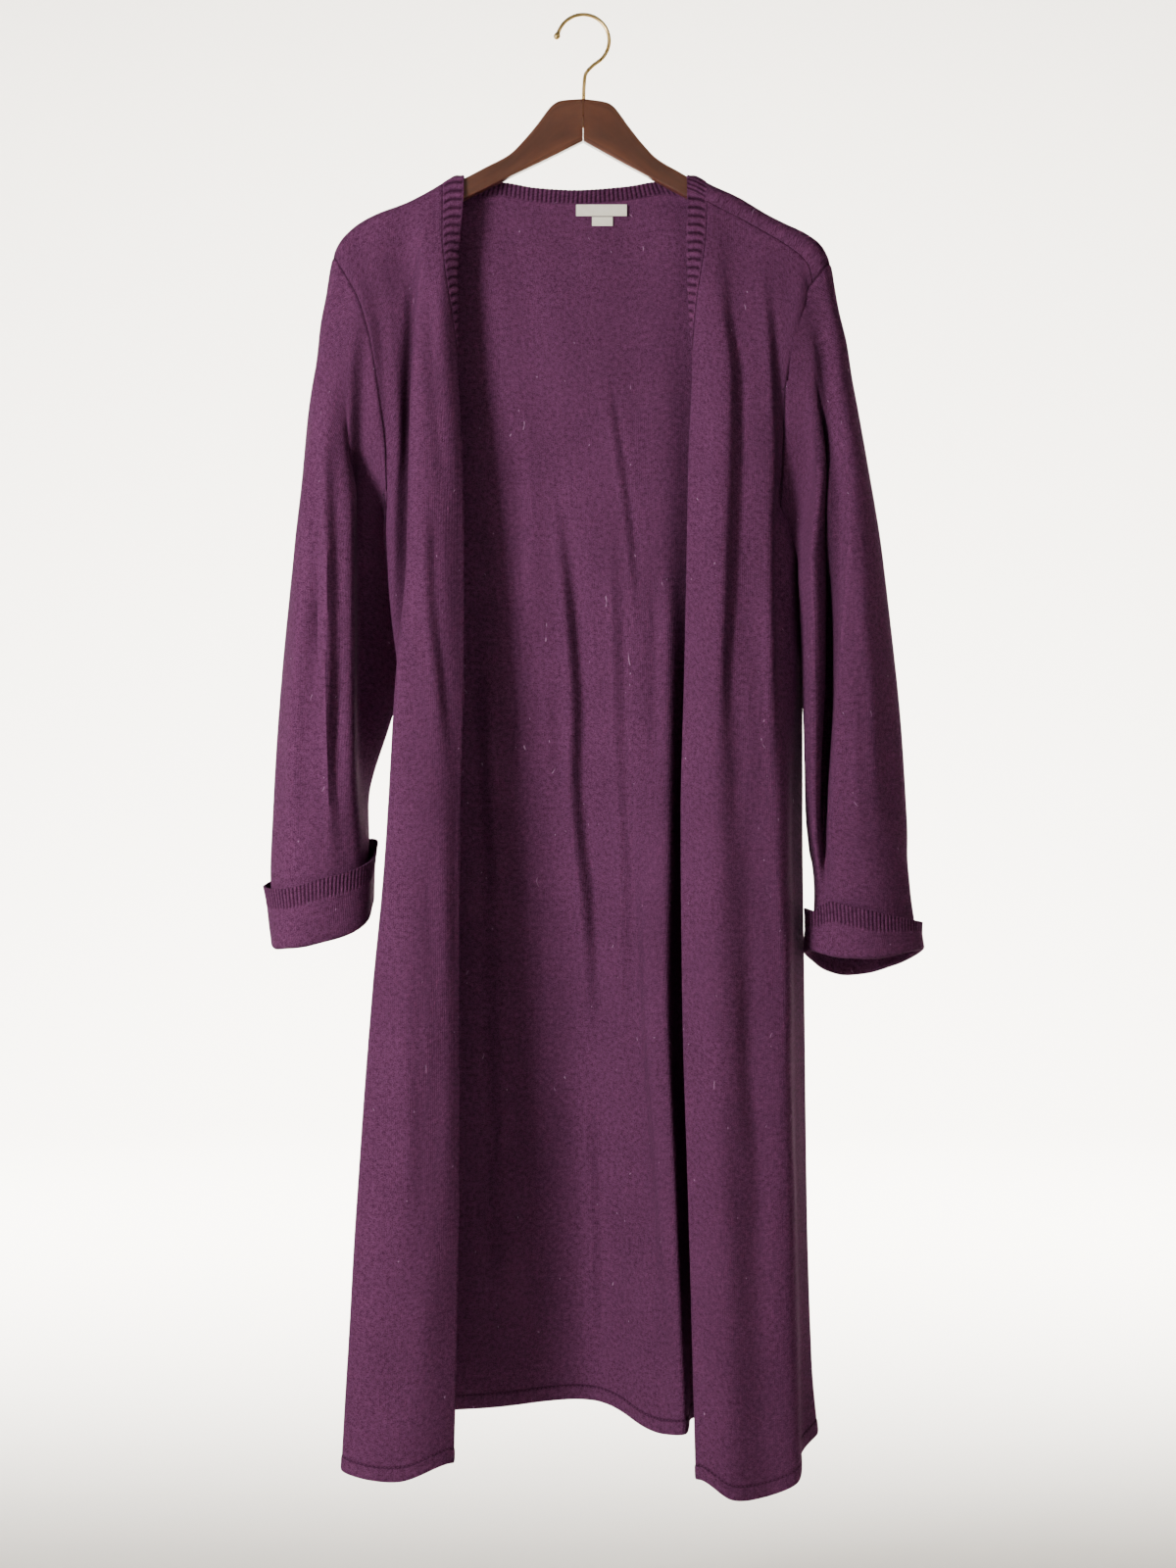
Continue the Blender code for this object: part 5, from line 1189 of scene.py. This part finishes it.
share_seam_normals(list(knits.values()))
for side, word in SIDES:
    front, sleeve = knits[f"front_{word}"], knits[f"sleeve_{word}"]
    across, up = distance_across(front.grid), distance_up(front.grid)
    front.drape(11 + side, 46.0, 0.8)
    front.creases(FRONT_CREASES[side], 1)
    front.seam(across, 0.6)
    front.seam(across[:, -1:] - across)
    front.seam(up[-1:] - up, 0.7)
    front.hem()
    sleeve.drape(23 + side, 40.0, 0.7)
    sleeve.creases(SLEEVE_CREASES[side], 1)
    down = distance_up(sleeve.grid)
    sleeve.seam(down)
    sleeve.lift *= soft_step(down[-1:] - down, 0.0, 45.0)
back = knits["back"]
across = distance_across(back.grid)
back.drape(5, 60.0, 1.0)
back.creases(BACK_CREASES, -1)
back.seam(across)
back.seam(across[:, -1:] - across)
back.hem()

POINTS_A_RIB = 7
RIBS_LEVEL = 220.0  # depth below the hook at which the band's ribs lie level
BAND_TOP = 215.0  # the length of the band that is cut fine for its ribs, and its step
BAND_TOP_STEP = 0.9
BAND_SHOWN = (-355.0, -335.0)  # z where its ribs begin and where they are full
for word in ("left", "right"):
    band, cuff = knits[f"band_{word}"], knits[f"cuff_rib_{word}"]
    cut_finer(band, rows=lambda end: np.concatenate(
        [np.linspace(0, end - BAND_TOP, 180)[:-1],
         np.arange(end - BAND_TOP, end, BAND_TOP_STEP), [end]]))
    up, edge = distance_up(band.grid), distance_across(band.grid)
    shown = soft_step(band.grid[..., 2], *BAND_SHOWN)
    shown = shown * soft_step(edge, 0.0, 1.5) * soft_step(edge[:, -1:] - edge, 0.0, 2.2)
    down = up[-1:] - up
    level = np.argmin(np.abs(band.grid[..., 2].mean(axis=1) + RIBS_LEVEL))
    down -= down[level] - down[level].mean()
    raise_ribs(band, down, BAND_PITCH, BAND_RISE, shown, 1)
    band.hem()
    ribs = round(distance_across(cuff.grid, True).mean(axis=0)[-1] / CUFF_PITCH)
    cut_finer(cuff, columns=lambda end, n=ribs: np.linspace(0, end, n * POINTS_A_RIB + 1))
    around = np.arange(cuff.grid.shape[1])[None] / POINTS_A_RIB
    raise_ribs(cuff, around, 1.0, CUFF_RISE, soft_step(distance_up(cuff.grid), 0.0, 2.5), -1)
neck = knits["neck_rib"]
cut_finer(neck, columns=lambda end: np.linspace(0, end, round(end / NECK_PITCH) * POINTS_A_RIB))
around = distance_across(neck.grid).mean(axis=0)[None]
shown = soft_step(distance_up(neck.grid), 0.0, 2.0)
raise_ribs(neck, around, NECK_PITCH, NECK_RISE, shown, -1)

for node_name, knit in knits.items():
    if node_name.startswith("band"):
        finish, slot = band_plum, "plum_rib"
    elif "rib" in node_name:
        finish, slot = plum_rib, "plum_rib"
    else:
        finish, slot = plum, "plum_knit"
    sew(knit, finish, node_name)

# ---------------------------------------------------------------- tape, label and tab
# A plum tape covers the back neck's seam. Under its edge hang a bare ivory satin label,
# sewn at both ends, and a small size tab folded in two.

TAPE_HEIGHT = 4.2
TAPE_DROP = 0.9
TAPE_REACH = 88.0
LABEL_BOX = (-6.0, 37.0, -156.0, -165.8)  # left, right, top, bottom
TAB_BOX = (7.5, 25.0, -166.4, -174.0)
TRIM_WALL = 0.7
TRIM_GAP = 0.45
UPPER_ROWS = 24  # of the back panel, down from its neck


def on_back(x, z, lift):
    """Points at x and z on the inside of the upper back, lifted off the panel."""
    rows = back_grid[len(BODY_SHARES) - UPPER_ROWS : len(BODY_SHARES)]
    heights, depths = (
        np.stack([np.interp(x, row[:, 0], row[:, k]) for row in rows]) for k in (2, 1)
    )
    y = [np.interp(level, h, d) for level, h, d in zip(z, heights.T, depths.T)]
    return np.stack([x, np.array(y) - lift, z], axis=-1)


def patch(box, columns, rows, lift, bulge):
    """A grid over a box given in x and z, bulged off the back between its ends."""
    x = np.linspace(box[0], box[1], columns)
    away = lift + bulge * (1 - np.linspace(-1, 1, columns) ** 2)
    return np.stack([on_back(x, 0 * x + z, away) for z in np.linspace(box[3], box[2], rows)])


def satin():
    """Woven satin: a smooth ivory face with fine cross threads and a soft sheen."""
    node, finish = new_material("ivory satin", (0.80, 0.76, 0.66), 0.42, Sheen_Weight=0.15)
    place = node("ShaderNodeUVMap", {"uv_map": "cloth"}).outputs[0]
    threads = node("ShaderNodeTexWave", {"bands_direction": "Y"}, Vector=place, Scale=900.0,
                   Distortion=1.5, Detail=1.0)
    cloudy = node("ShaderNodeTexNoise", Vector=place, Scale=160.0, Detail=3.0)
    tone = node("ShaderNodeMixRGB", Fac=cloudy.outputs["Fac"], i1=(0.70, 0.65, 0.53, 1),
                i2=(0.86, 0.83, 0.74, 1))
    bump = node("ShaderNodeBump", Strength=0.3, Distance=0.0002, Height=threads.outputs["Fac"])
    return finish(Base_Color=tone.outputs[0], Normal=bump.outputs[0])


first = WALL / 2 + TRIM_GAP + TRIM_WALL / 2
second = first + TRIM_WALL + TRIM_GAP
tape_x = np.linspace(-TAPE_REACH, TAPE_REACH, 121)
tape_top = np.interp(tape_x, NECK_SEAM["x"], NECK_SEAM["z"]) - TAPE_DROP
tape = np.stack([on_back(tape_x, tape_top - TAPE_HEIGHT * (1 - share), first)
                 for share in np.linspace(0, 1, 7)])
satin_finish = satin()
for name, grid, finish, slot, node_name in (
    ("tape_neck", tape, plum_rib, "plum_rib", "neck_tape"),
    ("label_bare", patch(LABEL_BOX, 40, 9, second, 0.25), satin_finish, "ivory_satin", "label"),
    ("tab_bare", patch(TAB_BOX, 16, 9, first, 0.1), satin_finish, "ivory_satin", "size_tab"),
):
    trim = Knit(name, grid)
    trim.wall[:] = TRIM_WALL
    sew(trim, finish, node_name)

# ---------------------------------------------------------------- stitches and marks
# The hems are held by a row of stitches above the fold. Beside the armholes the knitter
# moved two loops at a time, which left a line of small slanted marks.

STITCH_PITCH = 3.6
STITCH_SIZE = (1.25, 0.34, 0.3)  # half its length, width and thickness
MARK_PITCH = 7.4
MARK_START = 3.0  # up the armhole
MARK_OFFSET = 9.0  # from the armhole's seam
MARK_SIZE = (1.5, 0.75, 0.45)
MARK_SLANT = 0.5
STITCH_RINGS, STITCH_SIDES = 5, 6


def stitch_row(name, points, ways, outs, size):
    """Small rounded stitches: a stretched ball of a few faces at each point, laid along
    its way, with outs the direction it stands out."""
    polar = np.linspace(0.12, math.pi - 0.12, STITCH_RINGS)[:, None]
    turns = np.arange(STITCH_SIDES) * 2 * math.pi / STITCH_SIDES
    waves = (np.cos(polar) + 0 * turns, np.sin(polar) * np.cos(turns),
             np.sin(polar) * np.sin(turns))
    ways, outs = unit(ways), unit(outs)
    ball = points[:, None]
    for wave, way, reach in zip(waves, (ways, np.cross(ways, outs), outs), size):
        ball = ball + wave.reshape(1, -1, 1) * way[:, None] * reach
    each = STITCH_RINGS * STITCH_SIDES
    quads = ring_faces(STITCH_RINGS, STITCH_SIDES)[:, [0, 3, 2, 1]]
    end = np.arange(STITCH_SIDES)
    caps = np.stack([end[::-1], each - STITCH_SIDES + end])
    starts = (np.arange(len(points)) * each)[:, None, None]
    faces = (quads + starts).reshape(-1, 4).tolist()
    faces += (caps + starts).reshape(-1, STITCH_SIDES).tolist()
    return mesh_piece(name, ball.reshape(-1, 3), faces, plum)


def spaced(line, out, start, pitch):
    """Points at an even pitch along a line, from a distance along it, the way that the
    line runs at each, and its outward direction there."""
    length = np.concatenate([[0], np.cumsum(np.linalg.norm(np.diff(line, axis=0), axis=1))])
    at = np.arange(start, length[-1], pitch)
    return [read_line(values, length, at) for values in (line, np.gradient(line, axis=0), out)]


def hem_line(knit, face):
    """The row of a piece's grid at its hem's stitches, on its outside (face 1) or inside."""
    row = int(np.argmin(np.abs(distance_up(knit.grid).mean(axis=1) - HEM_HEIGHT)))
    out = face * knit.wall[row] / 2
    line = knit.grid[row] + knit.normals[row] * (knit.lift[row] + out)[:, None]
    return spaced(line, face * knit.normals[row], STITCH_PITCH, STITCH_PITCH)


def armhole_marks(knit, last_column):
    """Marks at an even pitch up the armhole, a fixed distance in from its seam, slanted
    towards it. The seam is at the grid's last column or its first."""
    rows = slice(UNDERARM_ROW + 4, len(BODY_SHARES) - 2)
    grid, normals = knit.grid[rows], knit.normals[rows]
    outside = grid + normals * (knit.lift[rows] + knit.wall[rows] / 2)[..., None]
    from_seam, order = distance_across(grid), slice(None)
    if last_column:
        from_seam, order = from_seam[:, -1:] - from_seam, slice(None, None, -1)
    line, out = (
        np.stack([read_line(v[order], d[order], MARK_OFFSET) for d, v in zip(from_seam, source)])
        for source in (outside, normals)
    )
    points, ways, outs = spaced(line, out, MARK_START, MARK_PITCH)
    ways = unit(ways)
    slant = np.cross(ways, outs) * MARK_SLANT * (1 if knit.faces_in else -1)
    return points, ways + slant, outs


for node_name in ("front_left", "front_right", "back"):
    for face, word in ((-1, "inside"), (1, "outside")):
        stitch_row(f"hem_stitches_{node_name}_{word}", *hem_line(knits[node_name], face),
                   STITCH_SIZE)

for node_name, last_column in (
    ("front_left", 1), ("front_right", 1), ("back", 0), ("back", 1)
):
    stitch_row(f"armhole_marks_{node_name}_{last_column}",
               *armhole_marks(knits[node_name], last_column), MARK_SIZE)

# ---------------------------------------------------------------- the room
# A plain pale floor that curves up far away on every side. A soft light stands at the left
# front at chest height, a weaker one at the right, and two lamps light the wall behind.

FLOOR_Z = -1.42
BOWL_RADIUS = 7.0
BOWL_FLAT = 0.62  # of the radius
BOWL_SIDES = 96


def bowl(radii, turns):
    """The floor over distance from the middle and turn about it: flat, then rising as a
    circle's quarter once it is past BOWL_FLAT of the radius."""
    flat_to = BOWL_RADIUS * BOWL_FLAT
    bend = BOWL_RADIUS - flat_to
    past = np.clip((radii - flat_to) / bend, 0, None)
    angle = np.clip(past, 0, math.pi / 2)
    distance = (np.minimum(radii, flat_to) + bend * np.sin(angle))[:, None]
    height = bend * (1 - np.cos(angle)) + bend * np.clip(past - math.pi / 2, 0, None)
    x, y = distance * np.cos(turns), distance * np.sin(turns)
    return np.stack([x, y, FLOOR_Z + height[:, None] + 0 * x], axis=-1)


radii = np.concatenate([[0.001], np.linspace(0.5, BOWL_RADIUS * 1.9, 60)])
turns = np.linspace(0, 2 * math.pi, BOWL_SIDES + 1)[:-1]
floor_mesh = bpy.data.meshes.new("floor")
floor_mesh.from_pydata(bowl(radii, turns).reshape(-1, 3).tolist(), [],
                       ring_faces(len(radii), BOWL_SIDES).tolist())
floor_mesh.shade_smooth()
_, finish_paper = new_material("pale paper", (0.60, 0.575, 0.535), 0.95)
floor_mesh.materials.append(finish_paper())
add_object("floor", floor_mesh)

world = bpy.context.scene.world or bpy.data.worlds.new("world")
bpy.context.scene.world = world
world.use_nodes = True
sky = world.node_tree.nodes["Background"]
sky.inputs["Color"].default_value = (1.0, 0.98, 0.95, 1)
sky.inputs["Strength"].default_value = 0.05


def softbox(name, place, target, size, power, tint, spread=180):
    """A square lamp that looks from its place to its target, in metres, with its
    light kept within the spread, in degrees."""
    lamp = bpy.data.lights.new(name, "AREA")
    lamp.shape = "SQUARE"
    lamp.size = size
    lamp.energy = power
    lamp.color = tint
    lamp.spread = math.radians(spread)
    made = add_object(name, lamp)
    made.location = place
    way = Vector(target) - Vector(place)
    made.rotation_euler = way.to_track_quat("-Z", "Y").to_euler()


WARM_WHITE = (1.0, 0.98, 0.945)
softbox("key", (-1.2, -1.25, -0.32), (0, 0, -0.5), 0.45, 49.0, (1.0, 0.98, 0.96))
softbox("fill", (1.6, -2.6, 0.3), (0, 0, -0.6), 1.6, 10.5, (1.0, 0.98, 0.97))
for side, word in SIDES:
    place, target = (side * 2.4, 1.2, 1.8), (side * 0.5, 4.4, -0.9)
    softbox(f"wall_{word}", place, target, 1.6, 1000.0, WARM_WHITE, 110)

CAMERA_PLACE = (0.0041, -2.6, -0.648)
LENS = 70.7  # mm, on a sensor whose long side is 36 mm
camera_data = bpy.data.cameras.new("camera")
camera_data.lens = LENS
camera_data.sensor_width = 36.0
camera = add_object("camera", camera_data)
camera.location = CAMERA_PLACE
camera.rotation_euler = (math.pi / 2, 0, 0)
bpy.context.scene.camera = camera
